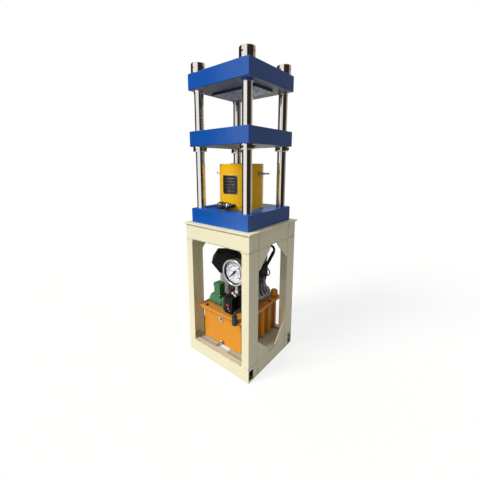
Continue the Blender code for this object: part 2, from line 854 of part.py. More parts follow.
def make_nuts():
    underside = CROWN_TOP + GAP
    top = underside + NUT_HEIGHT
    bore = COLUMN_THREAD_RADIUS + GAP
    profile = [
        (NUT_RADIUS - NUT_CHAMFER, top),
        (NUT_RADIUS, top - NUT_CHAMFER),
        (NUT_RADIUS, underside),
        (bore, underside),
        (bore, top),
    ]
    for name, (x, y) in COLUMN_PLACES.items():
        nut = turned(f"column_nut_{name}", profile, COLUMN_SIDES, (x, y, 0))
        holes = []
        for index in range(TOMMY_HOLE_COUNT):
            angle = math.tau * index / TOMMY_HOLE_COUNT
            out = Vector((math.cos(angle), math.sin(angle), 0))
            middle = Vector((x, y, (underside + top) / 2))
            start = middle + out * (NUT_RADIUS - TOMMY_HOLE_DEPTH)
            end = middle + out * (NUT_RADIUS + OVERRUN)
            holes.append(cylinder(f"hole_{index}", TOMMY_HOLE_RADIUS, start, end, HOLE_SIDES))
        cut(nut, merged(f"tommy_holes_{name}", holes))
        finish(nut, "turned_steel")


def make_collars():
    top = PLATEN_UNDERSIDE - GAP
    underside = top - COLLAR_HEIGHT
    bore = COLUMN_RADIUS + GAP
    profile = [
        (bore, top),
        (COLLAR_RADIUS - COLLAR_CHAMFER, top),
        (COLLAR_RADIUS, top - COLLAR_CHAMFER),
        (COLLAR_RADIUS, underside + COLLAR_CHAMFER),
        (COLLAR_RADIUS - COLLAR_CHAMFER, underside),
        (bore, underside),
    ]
    for name, (x, y) in COLUMN_PLACES.items():
        finish(turned(f"stop_collar_{name}", profile, COLUMN_SIDES, (x, y, 0)), "turned_steel")


def make_pressing_block():
    top = CROWN_UNDERSIDE - GAP
    underside = CROWN_UNDERSIDE - BLOCK_THICKNESS
    half_x = BLOCK_LENGTH / 2
    half_y = BLOCK_WIDTH / 2
    block = box("pressing_block", (-half_x, -half_y, underside), (half_x, half_y, top))
    bevel(block, FINE_BEVEL)
    holes = []
    for x in (-half_x + BLOCK_SCREW_INSET, half_x - BLOCK_SCREW_INSET):
        for y in (-half_y + BLOCK_SCREW_INSET, half_y - BLOCK_SCREW_INSET):
            start = (x, y, underside - OVERRUN)
            end = (x, y, underside + BLOCK_SCREW_DEPTH)
            holes.append(cylinder("screw_hole", BLOCK_SCREW_RADIUS, start, end, HOLE_SIDES))
    cut(block, merged("block_screw_holes", holes))
    finish(block, "machined_steel")


def make_press():
    clear_bore = COLUMN_RADIUS + GAP
    make_plate("base_plate", BASE_UNDERSIDE + GAP, BASE_TOP, clear_bore)
    platen = make_plate(
        "moving_platen",
        PLATEN_UNDERSIDE,
        PLATEN_UNDERSIDE + PLATE_THICKNESS,
        COLUMN_RADIUS + PLATEN_BORE_PLAY,
    )
    pivot_at(platen, (0, 0, PLATEN_UNDERSIDE))
    make_plate("crown_plate", CROWN_UNDERSIDE, CROWN_TOP, COLUMN_THREAD_RADIUS + GAP)
    make_columns()
    make_nuts()
    make_collars()
    make_pressing_block()


# Jack


def make_cylinder():
    foot = BASE_TOP + GAP
    floor = foot + JACK_FLOOR
    bore = RAM_RADIUS + GAP
    groove = foot + JACK_GROOVE_RISE
    gland_top = JACK_TOP - GLAND_DROP
    gland_edge = GLAND_RADIUS - GLAND_GROOVE
    profile = [
        (0, floor),
        (bore, floor),
        (bore, gland_top),
        (gland_edge, gland_top),
        (gland_edge, gland_top - GLAND_GROOVE),
        (GLAND_RADIUS, gland_top - GLAND_GROOVE),
        (GLAND_RADIUS, JACK_TOP),
        (JACK_RADIUS - JACK_CHAMFER, JACK_TOP),
        (JACK_RADIUS, JACK_TOP - JACK_CHAMFER),
        (JACK_RADIUS, groove + JACK_GROOVE_WIDTH),
        (JACK_RADIUS - JACK_GROOVE_DEPTH, groove + JACK_GROOVE_WIDTH),
        (JACK_RADIUS - JACK_GROOVE_DEPTH, groove),
        (JACK_RADIUS, groove),
        (JACK_RADIUS, foot),
        (0, foot),
    ]
    jack = turned("jack_cylinder", profile, JACK_SIDES)
    ports = []
    for sign in (-1, 1):
        start = (sign * (JACK_RADIUS - EYE_SHANK_DEPTH - GAP), 0, BASE_TOP + EYE_HEIGHT)
        end = (sign * (JACK_RADIUS + OVERRUN), 0, BASE_TOP + EYE_HEIGHT)
        ports.append(cylinder("eye_hole", EYE_SHANK_RADIUS + GAP, start, end, HOLE_SIDES))
    out = coupler_direction()
    height = Vector((0, 0, BASE_TOP + COUPLER_RISE))
    start = out * (JACK_RADIUS - ELBOW_DEPTH - GAP) + height
    end = out * (JACK_RADIUS + OVERRUN) + height
    port_radius = (ELBOW_RADIUS + GAP) / math.cos(math.pi / HOLE_SIDES)
    ports.append(cylinder("port", port_radius, start, end, HOLE_SIDES))
    cut(jack, merged("jack_ports", ports))
    finish(jack, "yellow_paint")


def make_ram():
    foot = BASE_TOP + JACK_FLOOR + 2 * GAP
    top = JACK_TOP + RAM_PROUD
    inner = RAM_GROOVE_RADIUS - RAM_GROOVE / 2
    outer = RAM_GROOVE_RADIUS + RAM_GROOVE / 2
    profile = [
        (0, top),
        (inner, top),
        (inner, top - RAM_GROOVE),
        (outer, top - RAM_GROOVE),
        (outer, top),
        (RAM_RADIUS - RAM_CHAMFER, top),
        (RAM_RADIUS, top - RAM_CHAMFER),
        (RAM_RADIUS, foot),
        (0, foot),
    ]
    ram = finish(turned("jack_ram", profile, JACK_SIDES), "turned_steel")
    pivot_at(ram, (0, 0, BASE_TOP))


def make_eyes():
    """Lifting eyes: a shank in the wall, a collar on it and a ring lying flat."""
    height = BASE_TOP + EYE_HEIGHT
    ring_x = EYE_REACH - EYE_RING_RADIUS - EYE_WIRE_RADIUS
    wire = arc((EYE_RING_RADIUS, 0), EYE_WIRE_RADIUS, 0, math.tau, WIRE_SIDES)[:-1]
    for name, sign in (("left", -1), ("right", 1)):
        eye = turned(f"lifting_eye_{name}", wire, SMALL_SIDES, (sign * ring_x, 0, height))
        seat = JACK_RADIUS + GAP
        neck_end = ring_x - EYE_RING_RADIUS + EYE_WIRE_RADIUS / 2
        collar_start = (sign * seat, 0, height)
        collar_end = (sign * (seat + EYE_COLLAR_LENGTH), 0, height)
        shank_start = (sign * (JACK_RADIUS - EYE_SHANK_DEPTH), 0, height)
        shank_end = (sign * neck_end, 0, height)
        join(eye, cylinder(f"eye_shank_{name}", EYE_SHANK_RADIUS, shank_start, shank_end, HOLE_SIDES))
        join(eye, cylinder(f"eye_collar_{name}", EYE_COLLAR_RADIUS, collar_start, collar_end, SMALL_SIDES))
        finish(eye, "yellow_paint")


def coupler_direction():
    return Vector((math.cos(COUPLER_BEARING), math.sin(COUPLER_BEARING), 0))


def coupler_frame():
    """Start point of the coupler's axis, and the rotation that lays its own Z along that axis."""
    out = coupler_direction()
    start = out * (JACK_RADIUS + COUPLER_STAND_OFF)
    start.z = BASE_TOP + COUPLER_RISE
    return start, along(out, (0, 0, -1))


def make_coupler():
    start, turn = coupler_frame()
    sideways = turn @ Vector((0, 0, 1))
    out = coupler_direction()
    height = Vector((0, 0, start.z))
    path = bent(
        [
            out * (JACK_RADIUS - ELBOW_DEPTH) + height,
            start,
            start + sideways * (COUPLER_NUT_START + COUPLER_NUT_RADIUS / 2),
        ],
        ELBOW_BEND,
    )
    coupler = tube("jack_coupler", path, ELBOW_RADIUS)
    middle = (COUPLER_SLEEVE_START + COUPLER_SLEEVE_END) / 2
    profile = [
        (0, COUPLER_NUT_START),
        (COUPLER_NUT_RADIUS, COUPLER_NUT_START),
        (COUPLER_NUT_RADIUS, COUPLER_SLEEVE_START),
        (COUPLER_SLEEVE_RADIUS, COUPLER_SLEEVE_START),
        (COUPLER_SLEEVE_RADIUS, middle - COUPLER_GROOVE / 2),
        (COUPLER_SLEEVE_RADIUS - COUPLER_GROOVE, middle),
        (COUPLER_SLEEVE_RADIUS, middle + COUPLER_GROOVE / 2),
        (COUPLER_SLEEVE_RADIUS, COUPLER_SLEEVE_END),
        (COUPLER_NOSE_RADIUS, COUPLER_SLEEVE_END),
        (COUPLER_NOSE_RADIUS, COUPLER_NOSE_END),
        (0, COUPLER_NOSE_END),
    ]
    join(coupler, as_mesh(turned("coupler_sleeve", profile, SMALL_SIDES, start, turn)))
    finish(coupler, "black_enamel")


def make_dust_cap():
    start, turn = coupler_frame()
    mouth = COUPLER_SLEEVE_END + GAP
    end = mouth + DUST_CAP_LENGTH
    bore = COUPLER_NOSE_RADIUS + GAP
    floor = COUPLER_NOSE_END + GAP
    middle = (mouth + end) / 2
    spread = math.acos((DUST_CAP_LENGTH / 2) / (DUST_CAP_RADIUS + DUST_CAP_WALL))
    dome = []
    for step in range(DOME_STEPS + 1):
        angle = math.pi - spread - (math.pi - 2 * spread) * step / DOME_STEPS
        radius = (DUST_CAP_RADIUS + DUST_CAP_WALL) * math.sin(angle)
        rise = DUST_CAP_LENGTH / 2 * math.cos(angle) / math.cos(spread)
        dome.append((min(radius, DUST_CAP_RADIUS), middle + rise))
    profile = [(0, floor), (bore, floor), (bore, mouth), *dome, (0, end)]
    cap = finish(turned("coupler_dust_cap", profile, SMALL_SIDES, start, turn), "black_plastic")
    pivot_at(cap, start)


def make_jack():
    make_cylinder()
    make_ram()
    make_eyes()
    make_coupler()
    make_dust_cap()


# Tank


def tank_outline(inset):
    """Plan of the tank: plain front and back, and sides pressed inwards into upright ribs."""
    front = TANK_FRONT + inset
    back = TANK_BACK - inset
    pitch = (TANK_BACK - TANK_FRONT) / TANK_RIB_COUNT
    face = pitch * TANK_RIB_FACE_SHARE
    slope = pitch * TANK_RIB_SLOPE_SHARE
    right = TANK_RIGHT - inset
    left = TANK_LEFT + inset
    points = [(right, front)]
    middles = [TANK_FRONT + pitch * (index + 1 / 2) for index in range(TANK_RIB_COUNT)]
    for middle in middles:
        points.append((right, middle - face / 2 - slope))
        points.append((right - TANK_RIB_DEPTH, middle - face / 2))
        points.append((right - TANK_RIB_DEPTH, middle + face / 2))
        points.append((right, middle + face / 2 + slope))
    points.append((right, back))
    points.append((left, back))
    for middle in reversed(middles):
        points.append((left, middle + face / 2 + slope))
        points.append((left + TANK_RIB_DEPTH, middle + face / 2))
        points.append((left + TANK_RIB_DEPTH, middle - face / 2))
        points.append((left, middle - face / 2 - slope))
    points.append((left, front))
    return points


def make_tank():
    top = LID_TOP - LID_THICKNESS - GAP
    height = top - TANK_UNDERSIDE
    tank = extruded("tank", tank_outline(0), height, (0, 0, (top + TANK_UNDERSIDE) / 2))
    floor = TANK_UNDERSIDE + TANK_WALL
    hollow_top = top + OVERRUN
    hollow_middle = (0, 0, (hollow_top + floor) / 2)
    hollow = extruded("tank_hollow", tank_outline(TANK_WALL), hollow_top - floor, hollow_middle)
    cut(tank, hollow)
    for x in (TANK_LEFT + FOOT_INSET, TANK_RIGHT - FOOT_INSET - FOOT_WIDTH):
        for y in (TANK_FRONT + FOOT_INSET, TANK_BACK - FOOT_INSET - FOOT_WIDTH):
            low = (x, y, LOWER_CHANNEL_HEIGHT + GAP)
            high = (x + FOOT_WIDTH, y + FOOT_WIDTH, TANK_UNDERSIDE + TANK_WALL / 2)
            join(tank, box("foot", low, high))
    front_in = TANK_FRONT + TANK_WALL + OVERRUN
    front_out = TANK_FRONT - OVERRUN
    holes = []
    for x, z, radius in ((SIGHT_X, SIGHT_Z, SIGHT_SHANK_RADIUS), (DRAIN_X, DRAIN_Z, DRAIN_SHANK_RADIUS)):
        holes.append(cylinder("front_hole", radius + GAP, (x, front_in, z), (x, front_out, z)))
    cut(tank, merged("tank_holes", holes))
    plug_back = (PLUG_X, TANK_FRONT + TANK_WALL / 2, PLUG_Z)
    plug_front = (PLUG_X, TANK_FRONT - PLUG_HEIGHT, PLUG_Z)
    join(tank, cylinder("tank_plug", PLUG_RADIUS, plug_back, plug_front, HOLE_SIDES))
    finish(tank, "orange_paint")


def make_lid():
    low = (TANK_LEFT - LID_OVERHANG_X, TANK_FRONT - LID_OVERHANG_Y, LID_TOP - LID_THICKNESS)
    high = (TANK_RIGHT + LID_OVERHANG_X, TANK_BACK + LID_OVERHANG_Y, LID_TOP)
    lid = box("tank_lid", low, high)
    bevel(lid, PLATE_BEVEL, 2)
    neck_top = LID_TOP + FILLER_NECK_HEIGHT
    neck_start = (FILLER_X, FILLER_Y, LID_TOP - LID_THICKNESS / 2)
    neck_end = (FILLER_X, FILLER_Y, neck_top)
    join(lid, cylinder("filler_neck", FILLER_NECK_RADIUS, neck_start, neck_end))
    below = LID_TOP - LID_THICKNESS - OVERRUN
    holes = [
        cylinder(
            "filler_bore",
            FILLER_NECK_RADIUS - FILLER_NECK_WALL,
            (FILLER_X, FILLER_Y, below),
            (FILLER_X, FILLER_Y, neck_top + OVERRUN),
        ),
        cylinder(
            "pump_bore",
            LID_BORE_RADIUS,
            (MOTOR_X, MOTOR_Y, below),
            (MOTOR_X, MOTOR_Y, LID_TOP + OVERRUN),
            COLUMN_SIDES,
        ),
    ]
    cut(lid, merged("lid_bores", holes))
    finish(lid, "orange_paint")


def make_filler_cap():
    foot = LID_TOP + GAP
    top = foot + FILLER_CAP_HEIGHT
    inner = FILLER_CAP_RADIUS - FILLER_CAP_WALL
    ceiling = LID_TOP + FILLER_NECK_HEIGHT + GAP
    shoulder_middle = (FILLER_CAP_RADIUS - FILLER_CAP_ROUND, top - FILLER_CAP_ROUND)
    shoulder = arc(shoulder_middle, FILLER_CAP_ROUND, math.pi / 2, 0, BEND_STEPS)
    profile = [(0, top), *shoulder, (FILLER_CAP_RADIUS, foot), (inner, foot), (inner, ceiling), (0, ceiling)]
    cap = finish(turned("filler_cap", profile, SMALL_SIDES, (FILLER_X, FILLER_Y, 0)), "orange_paint")
    pivot_at(cap, (FILLER_X, FILLER_Y, LID_TOP))


def make_sight_glass():
    rim_back = GAP
    rim_front = rim_back + SIGHT_RIM_THICKNESS
    shank_end = -TANK_WALL
    profile = [
        (0, rim_front - SIGHT_DISH),
        (SIGHT_GLASS_RADIUS, rim_front - SIGHT_DISH),
        (SIGHT_GLASS_RADIUS + FINE_BEVEL, rim_front),
        (SIGHT_RIM_RADIUS - FINE_BEVEL, rim_front),
        (SIGHT_RIM_RADIUS, rim_front - FINE_BEVEL),
        (SIGHT_RIM_RADIUS, rim_back),
        (SIGHT_SHANK_RADIUS, rim_back),
        (SIGHT_SHANK_RADIUS, shank_end),
        (0, shank_end),
    ]
    place = (SIGHT_X, TANK_FRONT, SIGHT_Z)
    finish(turned("sight_glass", profile, SMALL_SIDES, place, TO_FRONT), "bright_steel")


def make_drain():
    """Ball valve on the front wall, with a spout that points down and a lever on its stem."""
    front = TANK_FRONT - GAP - DRAIN_BODY_LENGTH
    profile = [
        (0, DRAIN_BODY_LENGTH + GAP + DRAIN_STEM_LENGTH),
        (DRAIN_STEM_RADIUS, DRAIN_BODY_LENGTH + GAP + DRAIN_STEM_LENGTH),
        (DRAIN_STEM_RADIUS, DRAIN_BODY_LENGTH + GAP),
        (DRAIN_BODY_RADIUS - FINE_BEVEL, DRAIN_BODY_LENGTH + GAP),
        (DRAIN_BODY_RADIUS, DRAIN_BODY_LENGTH + GAP - FINE_BEVEL),
        (DRAIN_BODY_RADIUS, GAP),
        (DRAIN_SHANK_RADIUS, GAP),
        (DRAIN_SHANK_RADIUS, -TANK_WALL),
        (0, -TANK_WALL),
    ]
    valve = turned("drain_valve", profile, SMALL_SIDES, (DRAIN_X, TANK_FRONT, DRAIN_Z), TO_FRONT)
    middle = TANK_FRONT - DRAIN_BODY_LENGTH / 2
    spout_top = (DRAIN_X, middle, DRAIN_Z)
    spout_end = (DRAIN_X, middle, DRAIN_Z - DRAIN_SPOUT_DROP)
    join(valve, cylinder("drain_spout", DRAIN_SPOUT_RADIUS, spout_top, spout_end, HOLE_SIDES))
    finish(valve, "brass")
    lever_middle = front - GAP - LEVER_THICKNESS / 2
    outline = arc((0, 0), LEVER_HUB_RADIUS, LEVER_THROAT, math.tau - LEVER_THROAT, LEVER_STEPS)
    outline += arc((LEVER_LENGTH, 0), LEVER_WIDTH / 2, -math.pi / 2, math.pi / 2, BEND_STEPS)
    outward = Vector((math.cos(LEVER_BEARING), 0, math.sin(LEVER_BEARING)))
    turn = along(outward, Vector((0, -1, 0)).cross(outward))
    pivot = (DRAIN_X, lever_middle, DRAIN_Z)
    lever = extruded("drain_lever", outline, LEVER_THICKNESS, pivot, turn)
    hole_start = (DRAIN_X, lever_middle - OVERRUN, DRAIN_Z)
    hole_end = (DRAIN_X, lever_middle + OVERRUN, DRAIN_Z)
    cut(lever, cylinder("lever_hole", DRAIN_STEM_RADIUS + GAP, hole_start, hole_end, HOLE_SIDES))
    finish(lever, "grey_steel")
    pivot_at(lever, pivot)


def make_pump():
    top = LID_TOP - LID_THICKNESS - GAP
    neck = top - PUMP_HEAD_HEIGHT
    foot = neck - PUMP_HEIGHT
    bore = SHAFT_RADIUS + GAP
    profile = [
        (0, top - PUMP_BORE_DEPTH),
        (bore, top - PUMP_BORE_DEPTH),
        (bore, top),
        (PUMP_RADIUS, top),
        (PUMP_RADIUS, top - PUMP_HEAD_HEIGHT / 3),
        (PUMP_HEAD_RADIUS, top - PUMP_HEAD_HEIGHT / 3),
        (PUMP_HEAD_RADIUS, neck),
        (PUMP_RADIUS, neck),
        (PUMP_RADIUS, foot),
        (0, foot),
    ]
    finish(turned("pump_body", profile, COLUMN_SIDES, MOTOR_PLACE), "cast_aluminium")


def make_tank_unit():
    make_tank()
    make_lid()
    make_filler_cap()
    make_sight_glass()
    make_drain()
    make_pump()


# Motor


def bell_edge(depth, steps=BEND_STEPS):
    """Outside of the bell from the neck down the flare to the foot, drawn in by a depth."""
    points = []
    spread = BELL_RIM_RADIUS - BELL_NECK_RADIUS
    drop = BELL_TOP - BELL_RIM_TOP
    for step in range(steps + 1):
        angle = math.pi / 2 * step / steps
        radius = BELL_NECK_RADIUS + spread * (1 - math.cos(angle)) - depth
        points.append((radius, BELL_TOP - drop * math.sin(angle)))
    rim_foot = BELL_RIM_TOP - BELL_RIM_HEIGHT
    points.append((BELL_RIM_RADIUS - depth, rim_foot))
    points.append((BELL_FOOT_RADIUS - depth, LID_TOP + GAP + BELL_FOOT_HEIGHT))
    return points


def make_bell():
    foot = LID_TOP + GAP
    outer = bell_edge(BELL_FIN_DEPTH)
    profile = [
        (LID_BORE_RADIUS, BELL_TOP),
        *outer,
        (BELL_FOOT_RADIUS - BELL_FIN_DEPTH, foot),
        (LID_BORE_RADIUS, foot),
    ]
    bell = turned("motor_bell", profile, MOTOR_SIDES, MOTOR_PLACE)
    fin_root = BELL_NECK_RADIUS - 2 * BELL_FIN_DEPTH
    fin_outline = [*bell_edge(0), (fin_root, foot + BELL_FOOT_HEIGHT), (fin_root, BELL_TOP)]
    fins = []
    for index in range(BELL_FIN_COUNT):
        angle = math.tau * (index + 1 / 2) / BELL_FIN_COUNT
        out = Vector((math.cos(angle), math.sin(angle), 0))
        fin = extruded(f"fin_{index}", fin_outline, BELL_FIN_THICKNESS, MOTOR_PLACE, along(out, (0, 0, 1)))
        fins.append(fin)
    join(bell, merged("bell_fins", fins))
    finish(bell, "cast_aluminium")


def make_barrel():
    foot = BELL_TOP + GAP
    shield = BARREL_TOP - SHIELD_HEIGHT
    profile = [
        (SHIELD_BORE, BARREL_TOP),
        (SHIELD_RADIUS, BARREL_TOP),
        (SHIELD_RADIUS, shield),
        (BARREL_RADIUS, shield),
        (BARREL_RADIUS, foot),
        (BARREL_BORE, foot),
        (BARREL_BORE, shield),
        (SHIELD_BORE, shield),
    ]
    finish(turned("motor_barrel", profile, MOTOR_SIDES, MOTOR_PLACE), "cast_aluminium")


def make_rotor():
    """Shaft and rotor core in one turning piece, with the cooling fan on its upper end."""
    foot = LID_TOP - LID_THICKNESS - PUMP_BORE_DEPTH
    core_foot = BELL_TOP + ROTOR_CLEARANCE
    core_top = BARREL_TOP - SHIELD_HEIGHT - ROTOR_CLEARANCE
    fan_foot = BARREL_TOP + ROTOR_CLEARANCE
    fan_top = fan_foot + FAN_BLADE_HEIGHT
    profile = [
        (0, fan_top),
        (FAN_HUB_RADIUS, fan_top),
        (FAN_HUB_RADIUS, fan_foot),
        (SHAFT_RADIUS, fan_foot),
        (SHAFT_RADIUS, core_top),
        (ROTOR_RADIUS, core_top),
        (ROTOR_RADIUS, core_foot),
        (SHAFT_RADIUS, core_foot),
        (SHAFT_RADIUS, foot),
        (0, foot),
    ]
    rotor = turned("motor_rotor", profile, COLUMN_SIDES, MOTOR_PLACE)
    blades = []
    for index in range(FAN_BLADE_COUNT):
        turn = Matrix.Rotation(math.tau * index / FAN_BLADE_COUNT, 4, "Z")
        low = (FAN_HUB_RADIUS - FAN_BLADE_THICKNESS, -FAN_BLADE_THICKNESS / 2, fan_foot + FAN_BLADE_THICKNESS)
        high = (FAN_RADIUS, FAN_BLADE_THICKNESS / 2, fan_top - FAN_BLADE_THICKNESS)
        blades.append(box(f"blade_{index}", low, high, turn, MOTOR_PLACE))
    join(rotor, merged("fan_blades", blades))
    finish(rotor, "grey_steel")
    pivot_at(rotor, (MOTOR_X, MOTOR_Y, BARREL_TOP))


def make_fan_cover():
    foot = BARREL_TOP - SHIELD_HEIGHT
    inner = SHIELD_RADIUS + GAP
    outer = inner + COVER_WALL
    ceiling = COVER_TOP - COVER_WALL
    shoulder = arc((outer - COVER_ROUND, COVER_TOP - COVER_ROUND), COVER_ROUND, math.pi / 2, 0, ARC_STEPS)
    inside = arc(
        (outer - COVER_ROUND, COVER_TOP - COVER_ROUND), COVER_ROUND - COVER_WALL, 0, math.pi / 2, ARC_STEPS
    )
    profile = [(0, COVER_TOP), *shoulder, (outer, foot), (inner, foot), *inside, (0, ceiling)]
    cover = turned("fan_cover", profile, MOTOR_SIDES, MOTOR_PLACE)
    slots = []
    for index in range(COVER_SLOT_COUNT):
        turn = Matrix.Rotation(math.tau * index / COVER_SLOT_COUNT, 4, "Z")
        low = (COVER_SLOT_START, -COVER_SLOT_WIDTH / 2, ceiling - OVERRUN)
        high = (COVER_SLOT_END, COVER_SLOT_WIDTH / 2, COVER_TOP + OVERRUN)
        slots.append(box(f"slot_{index}", low, high, turn, MOTOR_PLACE))
    cut(cover, merged("cover_slots", slots))
    finish(cover, "black_enamel")


def box_directions():
    """Outward direction of the terminal box, and the direction across it."""
    out = Vector((math.cos(BOX_BEARING), math.sin(BOX_BEARING), 0))
    return out, out.cross(Vector((0, 0, 1)))


def motor_clearance(name, underside, top):
    """The barrel and fan cover with a gap round them, to seat a piece against."""
    foot = BARREL_TOP - SHIELD_HEIGHT - GAP
    barrel = BARREL_RADIUS + GAP
    cover = SHIELD_RADIUS + COVER_WALL + 2 * GAP
    profile = [
        (0, top),
        (cover, top),
        (cover, foot),
        (barrel, foot),
        (barrel, underside),
        (0, underside),
    ]
    return as_mesh(turned(name, profile, MOTOR_SIDES, MOTOR_PLACE))


def make_terminal_box():
    out, across = box_directions()
    root = BARREL_RADIUS * math.cos(BOX_ROOT_ANGLE)
    outline = rounded(
        [
            (root, BOX_UNDERSIDE, 0),
            (BOX_FOOT_REACH, BOX_UNDERSIDE, BOX_ROUND),
            (BOX_REACH, BOX_TIP_HEIGHT, BOX_ROUND),
            (BOX_TOP_REACH, BOX_TOP, BOX_ROUND),
            (root, BOX_TOP, 0),
        ]
    )
    body = extruded("terminal_box", outline, BOX_WIDTH, MOTOR_PLACE, along(out, (0, 0, 1)))
    groove_outer = BOX_FOOT_REACH - 2 * BOX_ROUND
    turn = along(out, -across)
    half = BOX_WIDTH / 2
    line = box(
        "box_lid_line",
        (groove_outer - BOX_LID_LINE, -half - OVERRUN, BOX_UNDERSIDE - OVERRUN),
        (groove_outer, -half + BOX_LID_LINE, BOX_TOP + OVERRUN),
        turn,
        MOTOR_PLACE,
    )
    cut(body, line)
    cut(body, motor_clearance("box_seat", BOX_UNDERSIDE - OVERRUN, BOX_TOP + OVERRUN))
    finish(body, "black_plastic")


def make_capacitor_housing():
    out, across = box_directions()
    root = BARREL_RADIUS * math.cos(CAPACITOR_ROOT_ANGLE)
    top = BOX_UNDERSIDE - GAP
    outline = [(root, -CAPACITOR_RADIUS)]
    outline += arc((CAPACITOR_REACH, 0), CAPACITOR_RADIUS, -math.pi / 2, math.pi / 2, CAPACITOR_STEPS)
    outline += [(root, CAPACITOR_RADIUS)]
    place = MOTOR_PLACE + Vector((0, 0, (top + CAPACITOR_UNDERSIDE) / 2))
    housing = extruded("capacitor_housing", outline, top - CAPACITOR_UNDERSIDE, place, along(out, -across))
    cut(housing, motor_clearance("capacitor_seat", CAPACITOR_UNDERSIDE - OVERRUN, BOX_TOP))
    finish(housing, "cast_aluminium")


def make_handle():
    """Carry handle over the fan cover, its splayed legs in feet on the barrel, the right one with a junction."""
    feet_low = HANDLE_FOOT_TOP - HANDLE_FOOT_LENGTH
    corners = []
    for x, z in (
        (-HANDLE_FOOT_SPAN, HANDLE_FOOT_TOP - HANDLE_BEND),
        (-HANDLE_HALF_SPAN, HANDLE_HEIGHT),
        (HANDLE_HALF_SPAN, HANDLE_HEIGHT),
        (HANDLE_FOOT_SPAN, HANDLE_FOOT_TOP - HANDLE_BEND),
    ):
        corners.append(MOTOR_PLACE + Vector((x, 0, z)))
    handle = tube("carry_handle", bent(corners, HANDLE_BEND), HANDLE_BAR_RADIUS)
    for name, sign in (("left", -1), ("right", 1)):
        inner = sign * (BARREL_RADIUS - HANDLE_FOOT_THICKNESS / 2)
        outer = sign * (BARREL_RADIUS + HANDLE_FOOT_THICKNESS)
        front = -HANDLE_FOOT_WIDTH / 2 - (JUNCTION_WIDTH if sign > 0 else 0)
        low = (min(inner, outer), front, feet_low)
        high = (max(inner, outer), HANDLE_FOOT_WIDTH / 2, HANDLE_FOOT_TOP)
        join(handle, box(f"handle_foot_{name}", low, high, None, MOTOR_PLACE))
    cut(handle, motor_clearance("handle_seat", feet_low - OVERRUN, HANDLE_FOOT_TOP + GAP))
    finish(handle, "black_plastic")


def make_lead():
    """Short captive lead that leaves the junction at the right foot of the handle and returns to it."""
    face = BARREL_RADIUS + HANDLE_FOOT_THICKNESS + GAP
    middle = HANDLE_FOOT_TOP - HANDLE_FOOT_LENGTH / 2
    path = []
    for step in range(LEAD_STEPS + 1):
        angle = math.pi * step / LEAD_STEPS
        x = face + LEAD_BULGE * math.sin(angle)
        z = middle + LEAD_HALF_HEIGHT * math.cos(angle)
        path.append(MOTOR_PLACE + Vector((x, LEAD_SHIFT, z)))
    lead = tube("motor_lead", path, LEAD_RADIUS)
    trim_low = (0, LEAD_SHIFT - HANDLE_FOOT_WIDTH, middle - HANDLE_FOOT_LENGTH)
    trim_high = (face, LEAD_SHIFT + HANDLE_FOOT_WIDTH, middle + HANDLE_FOOT_LENGTH)
    cut(lead, box("lead_trim", trim_low, trim_high, None, MOTOR_PLACE))
    finish(lead, "black_plastic")


def make_motor():
    make_bell()
    make_barrel()
    make_rotor()
    make_fan_cover()
    make_terminal_box()
    make_capacitor_housing()
    make_handle()
    make_lead()


# Valves


def outlet_cap(x, y, top):
    """Ribbed cap of the outlet coupler, hanging from the end of its pipe."""
    profile = [(0, top)]
    pitch = OUTLET_CAP_HEIGHT / OUTLET_CAP_STEPS
    for index in range(OUTLET_CAP_STEPS):
        rib_top = top - pitch * index
        profile.append((OUTLET_CAP_RADIUS, rib_top))
        profile.append((OUTLET_CAP_RADIUS, rib_top - pitch + OUTLET_CAP_GROOVE))
        profile.append((OUTLET_CAP_RADIUS - OUTLET_CAP_GROOVE / 2, rib_top - pitch + OUTLET_CAP_GROOVE / 2))
    profile.append((OUTLET_CAP_RADIUS, top - OUTLET_CAP_HEIGHT))
    profile.append((0, top - OUTLET_CAP_HEIGHT))
    return as_mesh(turned("outlet_cap", profile, SMALL_SIDES, (x, y, 0)))


def make_valve_block():
    foot = LID_TOP + GAP
    block = box("valve_block", (VALVE_LEFT, VALVE_FRONT, foot), (VALVE_RIGHT, VALVE_BACK, VALVE_TOP))
    bevel(block, FINE_BEVEL)
    wing = box("valve_wing", (VALVE_LEFT, WING_FRONT, foot), (WING_RIGHT, VALVE_FRONT + OVERRUN, WING_TOP))
    join(block, wing)
    for name, x, z in (("a", FITTING_A_X, FITTING_A_Z), ("b", FITTING_B_X, FITTING_B_Z)):
        inside = (x, VALVE_FRONT + OVERRUN, z)
        collar = (x, VALVE_FRONT - FITTING_LENGTH / 2, z)
        end = (x, VALVE_FRONT - FITTING_LENGTH, z)
        join(block, cylinder(f"fitting_hex_{name}", FITTING_RADIUS, inside, collar, HEXAGON_SIDES))
        middle = (x, VALVE_FRONT - FITTING_LENGTH / 3, z)
        join(block, cylinder(f"fitting_end_{name}", FITTING_RADIUS * 2 / 3, middle, end, HOLE_SIDES))
    outlet_y = VALVE_FRONT - OUTLET_REACH
    cap_top = OUTLET_Z - OUTLET_DROP
    path = bent(
        [
            (OUTLET_X, VALVE_FRONT + OVERRUN, OUTLET_Z),
            (OUTLET_X, outlet_y, OUTLET_Z),
            (OUTLET_X, outlet_y, cap_top - OVERRUN),
        ],
        OUTLET_BEND,
    )
    join(block, tube("outlet_pipe", path, OUTLET_PIPE_RADIUS))
    join(block, outlet_cap(OUTLET_X, outlet_y, cap_top))
    finish(block, "black_enamel")


